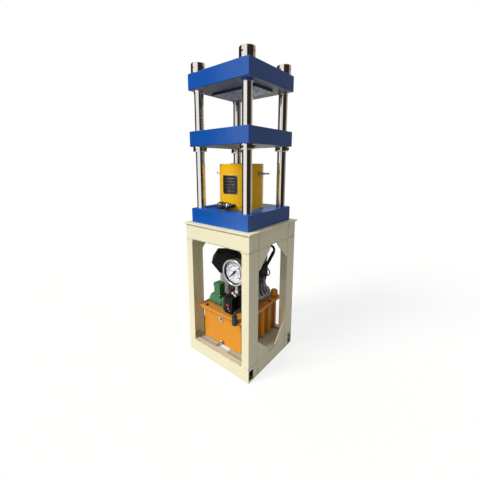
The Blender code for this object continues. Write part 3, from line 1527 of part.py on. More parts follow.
def make_relief_knob():
    end = KNOB_STEM_LENGTH + KNOB_LENGTH
    profile = [
        (0, end),
        (KNOB_RADIUS - KNOB_ROUND, end),
        (KNOB_RADIUS, end - KNOB_ROUND),
        (KNOB_RADIUS, KNOB_STEM_LENGTH + KNOB_ROUND),
        (KNOB_RADIUS - KNOB_ROUND, KNOB_STEM_LENGTH),
        (KNOB_STEM_RADIUS, KNOB_STEM_LENGTH),
        (KNOB_STEM_RADIUS, GAP),
        (0, GAP),
    ]
    place = (KNOB_X, VALVE_FRONT, KNOB_Z)
    knob = finish(turned("relief_knob", profile, SMALL_SIDES, place, TO_FRONT), "violet_anodised")
    pivot_at(knob, place)


def make_solenoid():
    """Coil housing lying along X, bolted to the valve block, with its plug-in terminal head on top."""
    right = VALVE_LEFT - GAP
    flange_left = right - SOLENOID_FLANGE_LENGTH
    half_width = SOLENOID_FLANGE_WIDTH / 2
    half_height = SOLENOID_FLANGE_HEIGHT / 2
    low = (flange_left, SOLENOID_Y - half_width, SOLENOID_Z - half_height)
    high = (right, SOLENOID_Y + half_width, SOLENOID_Z + half_height)
    valve = box("solenoid_valve", low, high)
    bevel(valve, PLATE_BEVEL)
    length = flange_left - SOLENOID_LEFT
    profile = [
        (0, 0),
        (SOLENOID_RADIUS - PLATE_BEVEL, 0),
        (SOLENOID_RADIUS, PLATE_BEVEL),
        (SOLENOID_RADIUS, length + FINE_BEVEL),
        (0, length + FINE_BEVEL),
    ]
    start = (SOLENOID_LEFT, SOLENOID_Y, SOLENOID_Z)
    join(valve, as_mesh(turned("solenoid_coil", profile, COLUMN_SIDES, start, TO_RIGHT)))
    base = HEAD_BASE_WIDTH / 2
    head = HEAD_WIDTH / 2
    base_low = (HEAD_X - base, SOLENOID_Y - base, HEAD_BASE_TOP - SOLENOID_BELT_HEIGHT)
    base_high = (HEAD_X + base, SOLENOID_Y + base, HEAD_BASE_TOP)
    join(valve, box("head_base", base_low, base_high))
    neck_low = (HEAD_X - head, SOLENOID_Y - head, SOLENOID_Z)
    neck_high = (HEAD_X + head, SOLENOID_Y + head, HEAD_TOP)
    join(valve, box("head_block", neck_low, neck_high))
    lobe_z = HEAD_TOP - HEAD_LOBE_DROP
    lobe_start = (HEAD_X, SOLENOID_Y, lobe_z)
    lobe_end = (HEAD_X - head - HEAD_LOBE_LENGTH, SOLENOID_Y, lobe_z)
    join(valve, cylinder("head_gland", HEAD_LOBE_RADIUS, lobe_start, lobe_end, HOLE_SIDES))
    finish(valve, "green_paint")


def make_starter():
    back = VALVE_FRONT - GAP
    low = (STARTER_LEFT, STARTER_FRONT, LID_TOP + GAP)
    high = (STARTER_LEFT + STARTER_WIDTH, back, STARTER_TOP)
    starter = box("starter_box", low, high)
    bevel(starter, PLATE_BEVEL, 2)
    collar_back = (BUTTON_X, STARTER_FRONT + BUTTON_COLLAR_HEIGHT, BUTTON_Z)
    collar_front = (BUTTON_X, STARTER_FRONT - BUTTON_COLLAR_HEIGHT, BUTTON_Z)
    join(starter, cylinder("button_collar", BUTTON_COLLAR_RADIUS, collar_back, collar_front))
    well_end = STARTER_FRONT - BUTTON_PROUD + BUTTON_LENGTH + BUTTON_TRAVEL + GAP
    well_start = (BUTTON_X, STARTER_FRONT - OVERRUN, BUTTON_Z)
    cut(starter, cylinder("button_well", BUTTON_RADIUS + GAP, well_start, (BUTTON_X, well_end, BUTTON_Z)))
    finish(starter, "black_plastic")
    front = BUTTON_PROUD
    profile = [
        (0, front),
        (BUTTON_RADIUS - FINE_BEVEL, front),
        (BUTTON_RADIUS, front - FINE_BEVEL),
        (BUTTON_RADIUS, front - BUTTON_LENGTH),
        (0, front - BUTTON_LENGTH),
    ]
    place = (BUTTON_X, STARTER_FRONT, BUTTON_Z)
    button = finish(turned("stop_button", profile, SMALL_SIDES, place, TO_FRONT), "red_plastic")
    pivot_at(button, place)


# Gauge


def make_gauge_case():
    """Cup with a bezel lip in front, joined to the stem that bends back to the valve block."""
    profile = [
        (0, -GAUGE_WELL),
        (GAUGE_BORE_RADIUS, -GAUGE_WELL),
        (GAUGE_BORE_RADIUS, -GAUGE_LIP),
        (GAUGE_OPENING_RADIUS, -GAUGE_LIP),
        (GAUGE_OPENING_RADIUS, -GAUGE_ROUND / 3),
        (GAUGE_OPENING_RADIUS + GAUGE_ROUND / 3, 0),
        (GAUGE_RADIUS - GAUGE_ROUND, 0),
        (GAUGE_RADIUS, -GAUGE_ROUND),
        (GAUGE_RADIUS, -GAUGE_BEZEL_DEPTH),
        (GAUGE_CASE_RADIUS, -GAUGE_BEZEL_DEPTH),
        (GAUGE_CASE_RADIUS, -GAUGE_DEPTH + GAUGE_ROUND),
        (GAUGE_CASE_RADIUS - GAUGE_ROUND, -GAUGE_DEPTH),
        (0, -GAUGE_DEPTH),
    ]
    case = turned("gauge_case", profile, GAUGE_SIDES, (GAUGE_X, GAUGE_Y, GAUGE_Z), TO_FRONT)
    path = bent(
        [
            (GAUGE_X, STEM_Y, GAUGE_Z - GAUGE_CASE_RADIUS + OVERRUN),
            (GAUGE_X, STEM_Y, STEM_Z),
            (GAUGE_X, VALVE_FRONT - GAP, STEM_Z),
        ],
        STEM_BEND,
    )
    join(case, tube("gauge_stem", path, STEM_RADIUS))
    finish(case, "bright_steel")


def make_gauge_inside():
    front = -GAUGE_LIP - GAP
    disc_radius = GAUGE_BORE_RADIUS - GAP
    place = (GAUGE_X, GAUGE_Y, GAUGE_Z)
    lens = [(0, front), (disc_radius, front), (disc_radius, front - LENS_THICKNESS), (0, front - LENS_THICKNESS)]
    finish(turned("gauge_lens", lens, GAUGE_SIDES, place, TO_FRONT), "glass")
    back = -GAUGE_WELL + GAP
    dial = [(0, back + DIAL_THICKNESS), (disc_radius, back + DIAL_THICKNESS), (disc_radius, back), (0, back)]
    finish(turned("gauge_dial", dial, GAUGE_SIDES, place, TO_FRONT), "white_enamel")
    hub_back = GAUGE_Y - back - DIAL_THICKNESS - GAP
    blade_middle = hub_back - NEEDLE_HUB_HEIGHT / 2
    outline = [
        (-NEEDLE_TAIL, -NEEDLE_WIDTH / 2),
        (NEEDLE_LENGTH, -NEEDLE_TIP_WIDTH / 2),
        (NEEDLE_LENGTH, NEEDLE_TIP_WIDTH / 2),
        (-NEEDLE_TAIL, NEEDLE_WIDTH / 2),
    ]
    outward = Vector((math.cos(NEEDLE_BEARING), 0, math.sin(NEEDLE_BEARING)))
    turn = along(outward, Vector((0, -1, 0)).cross(outward))
    pivot = (GAUGE_X, blade_middle, GAUGE_Z)
    needle = extruded("gauge_needle", outline, NEEDLE_THICKNESS, pivot, turn)
    hub_start = (GAUGE_X, hub_back, GAUGE_Z)
    hub_end = (GAUGE_X, hub_back - NEEDLE_HUB_HEIGHT, GAUGE_Z)
    join(needle, cylinder("needle_hub", NEEDLE_HUB_RADIUS, hub_start, hub_end, HOLE_SIDES))
    finish(needle, "black_enamel")
    pivot_at(needle, pivot)


clear_scene()
PARTS = new_collection("Hydraulic press")
CUTTERS = new_collection("Hydraulic press cutters")
make_channels("bottom_channel", 0, LOWER_CHANNEL_HEIGHT)
make_channels("top_channel", STAND_HEIGHT - UPPER_CHANNEL_HEIGHT, UPPER_CHANNEL_HEIGHT)
make_posts()
make_stand_plate()
make_tray()
make_press()
make_jack()
make_tank_unit()
make_motor()
make_valve_block()
make_relief_knob()
make_solenoid()
make_starter()
make_gauge_case()
make_gauge_inside()
bpy.context.view_layer.update()
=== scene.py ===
"""Dressed model of a four-column hydraulic press on its stand: finishes, weld seams and small fittings."""

import math
import random

import bmesh
import bpy
from bpy.props import FloatProperty, FloatVectorProperty, IntProperty, PointerProperty
from mathutils import Matrix, Vector


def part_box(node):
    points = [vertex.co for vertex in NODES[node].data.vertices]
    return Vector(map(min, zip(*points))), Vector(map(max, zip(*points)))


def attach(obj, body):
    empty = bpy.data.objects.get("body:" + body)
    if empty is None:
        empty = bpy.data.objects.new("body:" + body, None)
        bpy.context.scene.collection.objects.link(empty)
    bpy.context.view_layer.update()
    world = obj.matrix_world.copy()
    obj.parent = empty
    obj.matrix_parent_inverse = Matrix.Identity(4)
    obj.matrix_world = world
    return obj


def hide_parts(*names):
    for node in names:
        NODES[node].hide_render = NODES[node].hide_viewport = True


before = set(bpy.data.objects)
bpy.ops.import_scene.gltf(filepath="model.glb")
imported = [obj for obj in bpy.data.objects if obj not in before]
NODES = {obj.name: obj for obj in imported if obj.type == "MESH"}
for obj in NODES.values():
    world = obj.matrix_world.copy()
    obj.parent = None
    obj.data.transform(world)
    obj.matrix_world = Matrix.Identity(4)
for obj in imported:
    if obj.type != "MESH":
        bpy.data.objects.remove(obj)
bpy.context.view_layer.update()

bl_info = {
    "name": "Four-column press dresser",
    "version": (1, 0, 0),
    "blender": (4, 5, 0),
    "location": "3D View > Sidebar > Press",
    "description": "Finishes, welds, fasteners and fittings for a hydraulic press on a stand",
    "category": "Object",
}

X_AXIS = Vector((1, 0, 0))
Y_AXIS = Vector((0, 1, 0))
Z_AXIS = Vector((0, 0, 1))
FRONT = -Y_AXIS
SMOOTH_ANGLE = math.radians(32)
CRISP_ANGLE = math.radians(20)
SIDES = 24
GUSSET_INSET = 0.080


# Colours and sizes that a user may change


def colour_property(name, description, default):
    return FloatVectorProperty(
        name=name, description=description, default=default, subtype="COLOR", size=3, min=0.0, max=1.0
    )


def length_property(name, description, default):
    return FloatProperty(
        name=name, description=description, default=default, min=0.0, subtype="DISTANCE", unit="LENGTH"
    )


def share_property(name, description, default):
    return FloatProperty(name=name, description=description, default=default, min=0.0, max=1.0, subtype="FACTOR")


def angle_property(name, description, degrees):
    return FloatProperty(name=name, description=description, default=math.radians(degrees), subtype="ANGLE")


class StageSettings(bpy.types.PropertyGroup):
    """Floor, light and camera."""

    floor_radius: length_property("Floor radius", "Half width of the pale floor", 14.0)
    floor_glow: share_property("Floor glow", "Share of white that the floor shows by itself", 0.80)
    floor_tint: share_property("Floor tint", "Grey level of the floor under the lamps", 0.20)
    room_light: share_property("Room light", "Level of the light that comes from all round", 0.40)
    key_strength: FloatProperty(
        name="Key lamp", description="Strength of the main soft lamp", default=2.95, min=0.0
    )
    key_bearing: angle_property("Key bearing", "Bearing of the main lamp from the front", -24)
    key_height: angle_property("Key height", "Height of the main lamp above the horizon", 42)
    key_softness: angle_property("Key softness", "Angle that the main lamp fills", 22)
    footprint: length_property("Footprint", "Half width of the shaded floor under the stand", 0.222)
    wall_radius: length_property("Wall radius", "Radius of the shaded wall that the bright steel mirrors", 2.5)
    wall_height: length_property("Wall height", "Height of that wall", 4.2)
    camera_place: FloatVectorProperty(
        name="Camera place", description="Where the camera stands", subtype="XYZ",
        default=(0.956445, -1.206086, 1.121477),
    )
    camera_bearing: angle_property("Camera bearing", "Turn of the camera about the press", 40.569)
    camera_dip: angle_property("Camera dip", "How far the camera looks down", 10.509)
    camera_roll: angle_property("Camera roll", "Turn of the camera about its own axis", -0.355)
    camera_lens: FloatProperty(name="Lens", description="Focal length in millimetres", default=20.356, min=1.0)
    camera_shift: FloatVectorProperty(
        name="Shift", description="Sideways and upward shift of the picture", size=2, default=(0.01776, -0.05364)
    )


class StandSettings(bpy.types.PropertyGroup):
    """Welded stand."""

    paint: colour_property("Stand paint", "Cream paint of the stand", (0.95, 0.89, 0.63))
    # Paler cream on the weld beads is a painted highlight.
    bead_highlight_paint: colour_property("Bead highlight", "Paler cream on the weld beads, a painted highlight", (0.95, 0.92, 0.76))
    bead_width: length_property("Bead width", "Half width of a weld bead", 0.0044)
    bead_height: length_property("Bead height", "Height of a weld bead", 0.0032)
    bead_pitch: length_property("Bead pitch", "Distance from ripple to ripple", 0.0042)
    corner_radius: length_property("Window corner", "Radius of the lower corners of the windows", 0.012)
    head_radius: length_property("Window head", "Radius of the upper corners of the windows", 0.020)
    grime: colour_property("Seam grime", "Brown dust that gathers in the seams", (0.33, 0.27, 0.17))
    gusset_leg: length_property("Gusset leg", "Length of a gusset along post and beam", 0.110)
    floor_grime: colour_property("Floor grime", "Grey dust on the low ledges and the tray", (0.50, 0.49, 0.40))
    # Painted shade inside the lower channels.
    hollow: colour_property("Channel hollow", "Dark inside of the lower channels", (0.030, 0.027, 0.020))


class PressSettings(bpy.types.PropertyGroup):
    """Plates, columns, nuts and collars."""

    paint: colour_property("Plate paint", "Blue paint of the plates", (0.003, 0.088, 0.43))
    bare: colour_property("Bare steel", "Machined steel under the plates", (0.38, 0.37, 0.32))
    block: colour_property("Block steel", "Milled steel of the pressing block", (0.70, 0.67, 0.56))
    column: colour_property("Column steel", "Ground steel of the columns", (0.80, 0.78, 0.75))
    nut: colour_property("Nut steel", "Turned steel of the nuts and collars", (0.80, 0.75, 0.70))
    screw: colour_property("Screw black", "Blackened screws", (0.018, 0.018, 0.019))
    collar_screw_radius: length_property("Collar screw", "Head radius of the collar screws", 0.0068)
    collar_screw_height: length_property("Collar screw height", "How far the collar screws stand out", 0.0050)


class JackSettings(bpy.types.PropertyGroup):
    """Jack, its plate and its hose coupler."""

    paint: colour_property("Jack paint", "Yellow paint of the jack", (0.95, 0.525, 0.004))
    ram: colour_property("Ram steel", "Plated steel of the ram", (0.66, 0.65, 0.63))
    eye: colour_property("Eye steel", "Bright steel of the lifting eyes", (0.42, 0.41, 0.40))
    black: colour_property("Coupler black", "Black finish of the hose coupler", (0.014, 0.014, 0.015))
    plate_width: length_property("Plate width", "Width of the data plate round the jack", 0.0954)
    plate_low: length_property("Plate foot", "Height of the data plate's lower edge", 0.963)
    plate_high: length_property("Plate head", "Height of the data plate's upper edge", 1.063)


class PumpSettings(bpy.types.PropertyGroup):
    """Tank, lid and the fittings on them."""

    paint: colour_property("Tank paint", "Orange paint of the tank", (0.84, 0.33, 0.020))
    bright: colour_property("Plated steel", "Bright fittings", (0.70, 0.70, 0.69))
    brass: colour_property("Brass", "Plated brass of the drain valve", (0.60, 0.57, 0.50))
    lid_screw_radius: length_property("Lid screw", "Head radius of the lid screws", 0.0075)
    lid_screw_height: length_property("Lid screw height", "Height of the lid screw heads", 0.0050)


class MotorSettings(bpy.types.PropertyGroup):
    """Motor, terminal box and handle."""

    casting: colour_property("Bell casting", "Cast metal of the bell and housing", (0.42, 0.43, 0.44))
    barrel: colour_property("Barrel", "Dark enamel of the barrel", (0.030, 0.031, 0.033))
    plastic: colour_property("Black plastic", "Covers, box and handle", (0.017, 0.017, 0.017))
    rib_pitch: length_property("Grip rib pitch", "Distance from rib to rib on the handle", 0.0085)


class ValveSettings(bpy.types.PropertyGroup):
    """Valves, starter box and gauge."""

    block: colour_property("Valve block", "Black finish of the valve block", (0.016, 0.017, 0.018))
    green: colour_property("Solenoid green", "Green of the solenoid valve", (0.055, 0.20, 0.085))
    knob: colour_property("Knob violet", "Violet red of the relief knob", (0.15, 0.020, 0.080))
    button: colour_property("Button red", "Red of the stop button", (0.46, 0.022, 0.028))
    cap: colour_property("Outlet cap", "Dark blue grey of the outlet cap", (0.030, 0.036, 0.055))
    dial: colour_property("Dial white", "White of the dial", (0.42, 0.425, 0.455))
    mark: colour_property("Dial mark", "Blue grey of the small marks", (0.025, 0.028, 0.045))
    red: colour_property("Dial red", "Red of the warning band", (0.20, 0.010, 0.018))
    tick_count: IntProperty(name="Ticks", description="Small divisions on the dial", default=60, min=10, max=200)


# Shader node helpers


def node(tree, kind, values=None, **settings):
    """Adds a node, sets its properties, and fills its inputs with values or links."""
    made = tree.nodes.new(kind)
    for key, value in settings.items():
        setattr(made, key, value)
    for key, value in (values or {}).items():
        if isinstance(value, bpy.types.NodeSocket):
            tree.links.new(value, made.inputs[key])
        else:
            made.inputs[key].default_value = value
    return made


def maths(tree, operation, first, second=0.0, clamp=False):
    return node(tree, "ShaderNodeMath", {0: first, 1: second}, operation=operation, use_clamp=clamp).outputs[0]


def plus(tree, first, second, clamp=False):
    return maths(tree, "ADD", first, second, clamp)


def minus(tree, first, second, clamp=False):
    return maths(tree, "SUBTRACT", first, second, clamp)


def times(tree, first, second, clamp=False):
    return maths(tree, "MULTIPLY", first, second, clamp)


def larger(tree, first, second):
    return maths(tree, "MAXIMUM", first, second)


def magnitude(tree, value):
    return maths(tree, "ABSOLUTE", value)


def swing(tree, value, amount):
    """Turns a noise about a half into a swing about zero."""
    return times(tree, minus(tree, value, 0.5), amount)


def vectors(tree, operation, first, second=None, output=0, third=None):
    """Vector maths with as many vectors as the operation takes."""
    values = {key: value for key, value in enumerate((first, second, third)) if value is not None}
    return node(tree, "ShaderNodeVectorMath", values, operation=operation).outputs[output]


def blend(tree, factor, first, second):
    """Colour mix by a mask."""
    made = node(tree, "ShaderNodeMix", {0: factor, 6: opaque(first), 7: opaque(second)}, data_type="RGBA")
    return made.outputs[2]


def blend_value(tree, factor, first, second):
    return node(tree, "ShaderNodeMix", {0: factor, 2: first, 3: second}, data_type="FLOAT").outputs[0]


def ramp(tree, value, low, high, out_low=0.0, out_high=1.0):
    """Smooth step of a value between two levels."""
    values = {0: value, 1: low, 2: high, 3: out_low, 4: out_high}
    return node(tree, "ShaderNodeMapRange", values, interpolation_type="SMOOTHSTEP").outputs[0]


def noise(tree, vector, scale, detail=3.0, roughness=0.55):
    values = {"Vector": vector, "Scale": scale, "Detail": detail, "Roughness": roughness}
    return node(tree, "ShaderNodeTexNoise", values).outputs["Fac"]


def object_place(tree):
    return node(tree, "ShaderNodeTexCoord").outputs["Object"]


def place_parts(tree):
    """X, Y and Z of the place on the object."""
    return node(tree, "ShaderNodeSeparateXYZ", {0: object_place(tree)}).outputs


def square_reach(tree, place):
    """Distance from the middle, measured along X or Y, whichever is larger."""
    return larger(tree, magnitude(tree, place["X"]), magnitude(tree, place["Y"]))


def seen_ray(tree):
    """White for what the camera sees, straight, mirrored or through glass."""
    path = node(tree, "ShaderNodeLightPath").outputs
    seen = larger(tree, path["Is Camera Ray"], path["Is Glossy Ray"])
    return larger(tree, seen, path["Is Transmission Ray"])


def brighter(tree, colour, value):
    return node(tree, "ShaderNodeHueSaturation", {"Color": colour, "Value": value}).outputs["Color"]


def new_group(name, inputs, outputs):
    """Starts a shader node group with named inputs and outputs."""
    tree = bpy.data.node_groups.new(name, "ShaderNodeTree")
    for label, value in inputs.items():
        kind = "NodeSocketColor" if isinstance(value, tuple) and len(value) == 4 else "NodeSocketFloat"
        if isinstance(value, tuple) and len(value) == 3:
            kind = "NodeSocketVector"
        tree.interface.new_socket(label, in_out="INPUT", socket_type=kind).default_value = value
    for label, kind in outputs.items():
        tree.interface.new_socket(label, in_out="OUTPUT", socket_type=kind)
    return tree, tree.nodes.new("NodeGroupInput").outputs, tree.nodes.new("NodeGroupOutput").inputs


SKIN_OUTPUTS = {"Color": "NodeSocketColor", "Roughness": "NodeSocketFloat", "Height": "NodeSocketFloat"}
GREY = (0.5, 0.5, 0.5, 1.0)
PLAIN_DUST = (0.42, 0.38, 0.31)


def group_edges():
    """Rounded shading of sharp edges, and a patchy mask of where they are worn."""
    tree, given, result = new_group(
        "Worn edges",
        {"Radius": 0.0012, "Wear": 0.5, "Patch Scale": 60.0},
        {"Normal": "NodeSocketVector", "Worn": "NodeSocketFloat"},
    )
    soft = node(tree, "ShaderNodeBevel", {"Radius": given["Radius"]}, samples=4).outputs[0]
    true = node(tree, "ShaderNodeNewGeometry").outputs["Normal"]
    dot = vectors(tree, "DOT_PRODUCT", soft, true, "Value")
    bend = ramp(tree, minus(tree, 1.0, dot), 0.06, 0.20)
    patch = noise(tree, object_place(tree), given["Patch Scale"], 5.0, 0.65)
    level = minus(tree, 0.92, times(tree, given["Wear"], 0.62))
    grain = ramp(tree, minus(tree, patch, level), -0.03, 0.03)
    tree.links.new(soft, result["Normal"])
    tree.links.new(times(tree, bend, grain, True), result["Worn"])
    return tree


def group_paint():
    """Sprayed paint: slow mottle of the colour, fine peel, and gloss that changes from place to place."""
    tree, given, result = new_group(
        "Sprayed paint", {"Color": GREY, "Roughness": 0.3, "Mottle": 0.06, "Peel Scale": 420.0}, SKIN_OUTPUTS
    )
    place = object_place(tree)
    slow = noise(tree, place, 6.5, 3.0)
    middle = noise(tree, place, 46.0, 4.0, 0.6)
    drift = swing(tree, slow, given["Mottle"])
    speck = swing(tree, middle, times(tree, given["Mottle"], 0.5))
    value = plus(tree, plus(tree, drift, speck), 1.0)
    tree.links.new(brighter(tree, given["Color"], value), result["Color"])
    gloss = swing(tree, middle, 0.22)
    tree.links.new(plus(tree, given["Roughness"], gloss, True), result["Roughness"])
    peel = noise(tree, place, given["Peel Scale"], 2.0)
    tree.links.new(plus(tree, peel, times(tree, middle, 1.4)), result["Height"])
    return tree


def group_turned():
    """Machined metal: fine tool lines across the stretch, with handling smears."""
    tree, given, result = new_group(
        "Tool lines",
        {"Color": GREY, "Roughness": 0.25, "Stretch": (20.0, 20.0, 1400.0), "Smear": 0.12},
        SKIN_OUTPUTS,
    )
    place = object_place(tree)
    stretched = vectors(tree, "MULTIPLY", place, given["Stretch"])
    lines = noise(tree, stretched, 1.0, 3.0, 0.6)
    smear = noise(tree, place, 24.0, 5.0, 0.6)
    value = plus(tree, swing(tree, lines, 0.35), 1.0)
    tree.links.new(brighter(tree, given["Color"], value), result["Color"])
    rough = swing(tree, smear, times(tree, given["Smear"], 2.0))
    fine = swing(tree, lines, 0.16)
    total = plus(tree, plus(tree, given["Roughness"], rough), fine, True)
    tree.links.new(total, result["Roughness"])
    tree.links.new(lines, result["Height"])
    return tree


def group_cast():
    """Sand-cast or moulded skin: pebbled surface with darker pits."""
    tree, given, result = new_group(
        "Pebbled skin", {"Color": GREY, "Roughness": 0.5, "Grain Scale": 700.0, "Pitting": 0.2}, SKIN_OUTPUTS
    )
    place = object_place(tree)
    grain = noise(tree, place, given["Grain Scale"], 4.0, 0.6)
    broad = noise(tree, place, 28.0, 4.0, 0.6)
    mixed = plus(tree, times(tree, grain, 0.6), times(tree, broad, 0.4))
    value = plus(tree, swing(tree, mixed, given["Pitting"]), 1.0)
    tree.links.new(brighter(tree, given["Color"], value), result["Color"])
    gloss = swing(tree, broad, 0.3)
    tree.links.new(plus(tree, given["Roughness"], gloss, True), result["Roughness"])
    tree.links.new(grain, result["Height"])
    return tree


def group_dust():
    """Workshop dust on what faces up, thin and cloudy."""
    tree, given, result = new_group(
        "Workshop dust",
        {"Color": GREY, "Roughness": 0.3, "Dust": (*PLAIN_DUST, 1.0), "Amount": 0.2},
        {"Color": "NodeSocketColor", "Roughness": "NodeSocketFloat"},
    )
    normal = node(tree, "ShaderNodeNewGeometry").outputs["Normal"]
    up = node(tree, "ShaderNodeSeparateXYZ", {0: normal}).outputs["Z"]
    cloud = noise(tree, object_place(tree), 17.0, 5.0, 0.62)
    cover = times(tree, ramp(tree, up, 0.35, 0.95), ramp(tree, cloud, 0.34, 0.72))
    mask = times(tree, cover, given["Amount"], True)
    tree.links.new(blend(tree, mask, given["Color"], given["Dust"]), result["Color"])
    tree.links.new(blend_value(tree, mask, given["Roughness"], 0.8), result["Roughness"])
    return tree


def group_nicks():
    """Small chips and scratches scattered over a surface."""
    tree, given, result = new_group(
        "Small nicks", {"Scale": 90.0, "Amount": 0.2}, {"Mask": "NodeSocketFloat"}
    )
    place = object_place(tree)
    bend = node(tree, "ShaderNodeTexNoise", {"Vector": place, "Scale": 40.0}).outputs["Color"]
    bent = vectors(tree, "MULTIPLY_ADD", place, bend, third=(0.02, 0.02, 0.02))
    spread = vectors(tree, "ADD", place, bent)
    cells = node(tree, "ShaderNodeTexVoronoi", {"Vector": spread, "Scale": given["Scale"]}).outputs["Distance"]
    near = ramp(tree, cells, 0.10, 0.04)
    where = ramp(tree, noise(tree, place, 13.0, 2.0), 0.62, 0.70)
    mask = times(tree, times(tree, near, where), given["Amount"], True)
    tree.links.new(mask, result["Mask"])
    return tree


GROUPS = {}
GROUP_MAKERS = {
    "edges": group_edges,
    "paint": group_paint,
    "turned": group_turned,
    "cast": group_cast,
    "dust": group_dust,
    "nicks": group_nicks,
}


def placed_group(tree, key, values):
    """Puts a shared node group into a material with its own values."""
    if key not in GROUPS:
        GROUPS[key] = GROUP_MAKERS[key]()
    return node(tree, "ShaderNodeGroup", values, node_tree=GROUPS[key]).outputs


# Finishes


def opaque(colour):
    """Colour with full alpha. A linked colour stays as it is."""
    return colour if isinstance(colour, bpy.types.NodeSocket) else (*colour[:3], 1.0)


def new_material(name, values):
    """Material with fixed values on its shader, its tree and its shader's inputs."""
    material = bpy.data.materials.new(name)
    material.use_nodes = True
    tree = material.node_tree
    inputs = tree.nodes["Principled BSDF"].inputs
    for label, value in values.items():
        inputs[label].default_value = value
    return material, tree, inputs


class Finish:
    """One material under construction: a skin, its dust, its worn edges and its bump."""

    def __init__(self, name, skin, colour, roughness, values, metallic=0.0, bump=0.00005, specular=0.5, coat=0.0):
        fixed = {"Metallic": metallic, "Specular IOR Level": specular, "Coat Weight": coat, "Coat Roughness": 0.12}
        self.material, self.tree, self.shader = new_material(name, fixed)
        base = placed_group(self.tree, skin, {"Color": opaque(colour), "Roughness": roughness, **values})
        self.colour, self.roughness, self.height = base["Color"], base["Roughness"], base["Height"]
        self.metallic = metallic
        self.bump = bump
        self.edges = None
        self.normal = None

    def layer(self, mask, colour, roughness, metallic=None):
        """Lays another finish over this one where the mask is white."""
        self.colour = blend(self.tree, mask, self.colour, colour)
        self.roughness = blend_value(self.tree, mask, self.roughness, roughness)
        if metallic is not None:
            self.metallic = blend_value(self.tree, mask, self.metallic, metallic)
        return self

    def dust(self, amount, colour=PLAIN_DUST):
        """Lays workshop dust on what faces up."""
        values = {"Color": self.colour, "Roughness": self.roughness, "Dust": opaque(colour), "Amount": amount}
        made = placed_group(self.tree, "dust", values)
        self.colour = made["Color"]
        self.roughness = made["Roughness"]
        return self

    def nicks(self, colour, amount, scale):
        """Scatters small chips of another colour."""
        mask = placed_group(self.tree, "nicks", {"Scale": scale, "Amount": amount})["Mask"]
        return self.layer(mask, colour, 0.5)

    def wear(self, radius, amount, colour, roughness=0.4, metallic=None, patch=60.0):
        """Rounds the edges in the shading and wears them through to another colour."""
        self.edges = placed_group(self.tree, "edges", {"Radius": radius, "Wear": amount, "Patch Scale": patch})
        return self.layer(self.edges["Worn"], colour, roughness, metallic)

    def done(self):
        """Joins all to the shader and gives back the material."""
        links = self.tree.links
        links.new(self.colour, self.shader["Base Color"])
        links.new(self.roughness, self.shader["Roughness"])
        if isinstance(self.metallic, bpy.types.NodeSocket):
            links.new(self.metallic, self.shader["Metallic"])
        values = {"Strength": 1.0, "Distance": self.bump, "Height": self.height}
        if self.edges:
            values["Normal"] = self.normal or self.edges["Normal"]
        links.new(node(self.tree, "ShaderNodeBump", values).outputs[0], self.shader["Normal"])
        return self.material


def height_mask(tree, low, high, soft=0.0006):
    """White between two heights on the object."""
    z = place_parts(tree)["Z"]
    rise = ramp(tree, z, low - soft, low + soft)
    fall = ramp(tree, z, high - soft, high + soft)
    return minus(tree, rise, fall, True)


def facing_mask(tree, axis, low, high):
    """White where the surface faces along an axis."""
    normal = node(tree, "ShaderNodeNewGeometry").outputs["True Normal"]
    return ramp(tree, vectors(tree, "DOT_PRODUCT", normal, axis, "Value"), low, high)


# Tones that lie over a finish
CREAM_CHIP = (0.42, 0.36, 0.25)
CREAM_EDGE = (0.55, 0.47, 0.32)
BLUE_CHIP = (0.05, 0.13, 0.36)
BLUE_DUST = (0.30, 0.33, 0.38)
BLUE_EDGE = (0.07, 0.15, 0.36)
BLUE_PAINTED_SHEEN = (0.13, 0.23, 0.56)
BLUE_PAINTED_SHADE = (0.155, 0.155, 0.12)
STAIN = (0.07, 0.07, 0.075)
BLOCK_STAIN = (0.05, 0.05, 0.055)
BLOCK_SIDE = (0.016, 0.026, 0.05)
STEEL_EDGE = (0.72, 0.70, 0.68)
IRON = (0.33, 0.32, 0.31)
HOLE_PAINTED_SHADE = (0.004, 0.004, 0.004)
FOOT_RUBBER = (0.020, 0.018, 0.016)
ORANGE_GROOVE_PAINTED_SHADE = (0.30, 0.085, 0.010)
LID_DUST_AND_SHADE = (0.42, 0.19, 0.075)
OIL = (0.16, 0.085, 0.018)
PANE_PAINTED_SHADE = (0.030, 0.028, 0.022)
HOUSING_GREY = (0.64, 0.66, 0.68)
FIN_GAP_PAINTED_SHADE = (0.018, 0.018, 0.019)


def seam_mask(tree, seams, gusset):
    """Thin cloudy lines along the welded seams on the outside of the stand."""
    place = place_parts(tree)
    x, y = magnitude(tree, place["X"]), magnitude(tree, place["Y"])
    level = [magnitude(tree, minus(tree, place["Z"], seam)) for seam in seams]
    face = (0.214, 0.219)
    outside = ramp(tree, larger(tree, x, y), *face)
    flat = times(tree, ramp(tree, maths(tree, "MINIMUM", *level), 0.0074, 0.0044), outside)
    upright = ramp(tree, magnitude(tree, minus(tree, y, gusset[0])), 0.0056, 0.0030)
    reached = ramp(tree, maths(tree, "MINIMUM", *level), gusset[1] + 0.004, gusset[1])
    upright = times(tree, times(tree, upright, ramp(tree, x, *face)), reached)
    cloud = ramp(tree, noise(tree, object_place(tree), 85.0, 4.0, 0.6), 0.32, 0.62)
    return times(tree, larger(tree, flat, upright), cloud, True)


def stand_paint(colour, grime, name="cream_enamel"):
    """Cream paint of the stand, with its grime where a colour is given."""
    finish = Finish(name, "paint", colour, 0.42, {"Mottle": 0.10}, bump=0.00010)
    finish.nicks(CREAM_CHIP, 0.5, 70.0)
    if grime:
        post_low, post_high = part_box("post_front_right")
        gusset = (abs(post_low.y) - GUSSET_INSET, settings().stand.gusset_leg)
        seams = seam_mask(finish.tree, (post_low.z, post_high.z), gusset)
        finish.layer(times(finish.tree, seams, 0.75), grime, 0.7)
        low_dust_and_channel_shade(finish, settings().stand)
    finish.dust(0.16)
    return finish.wear(0.0022, 0.30, CREAM_EDGE).done()


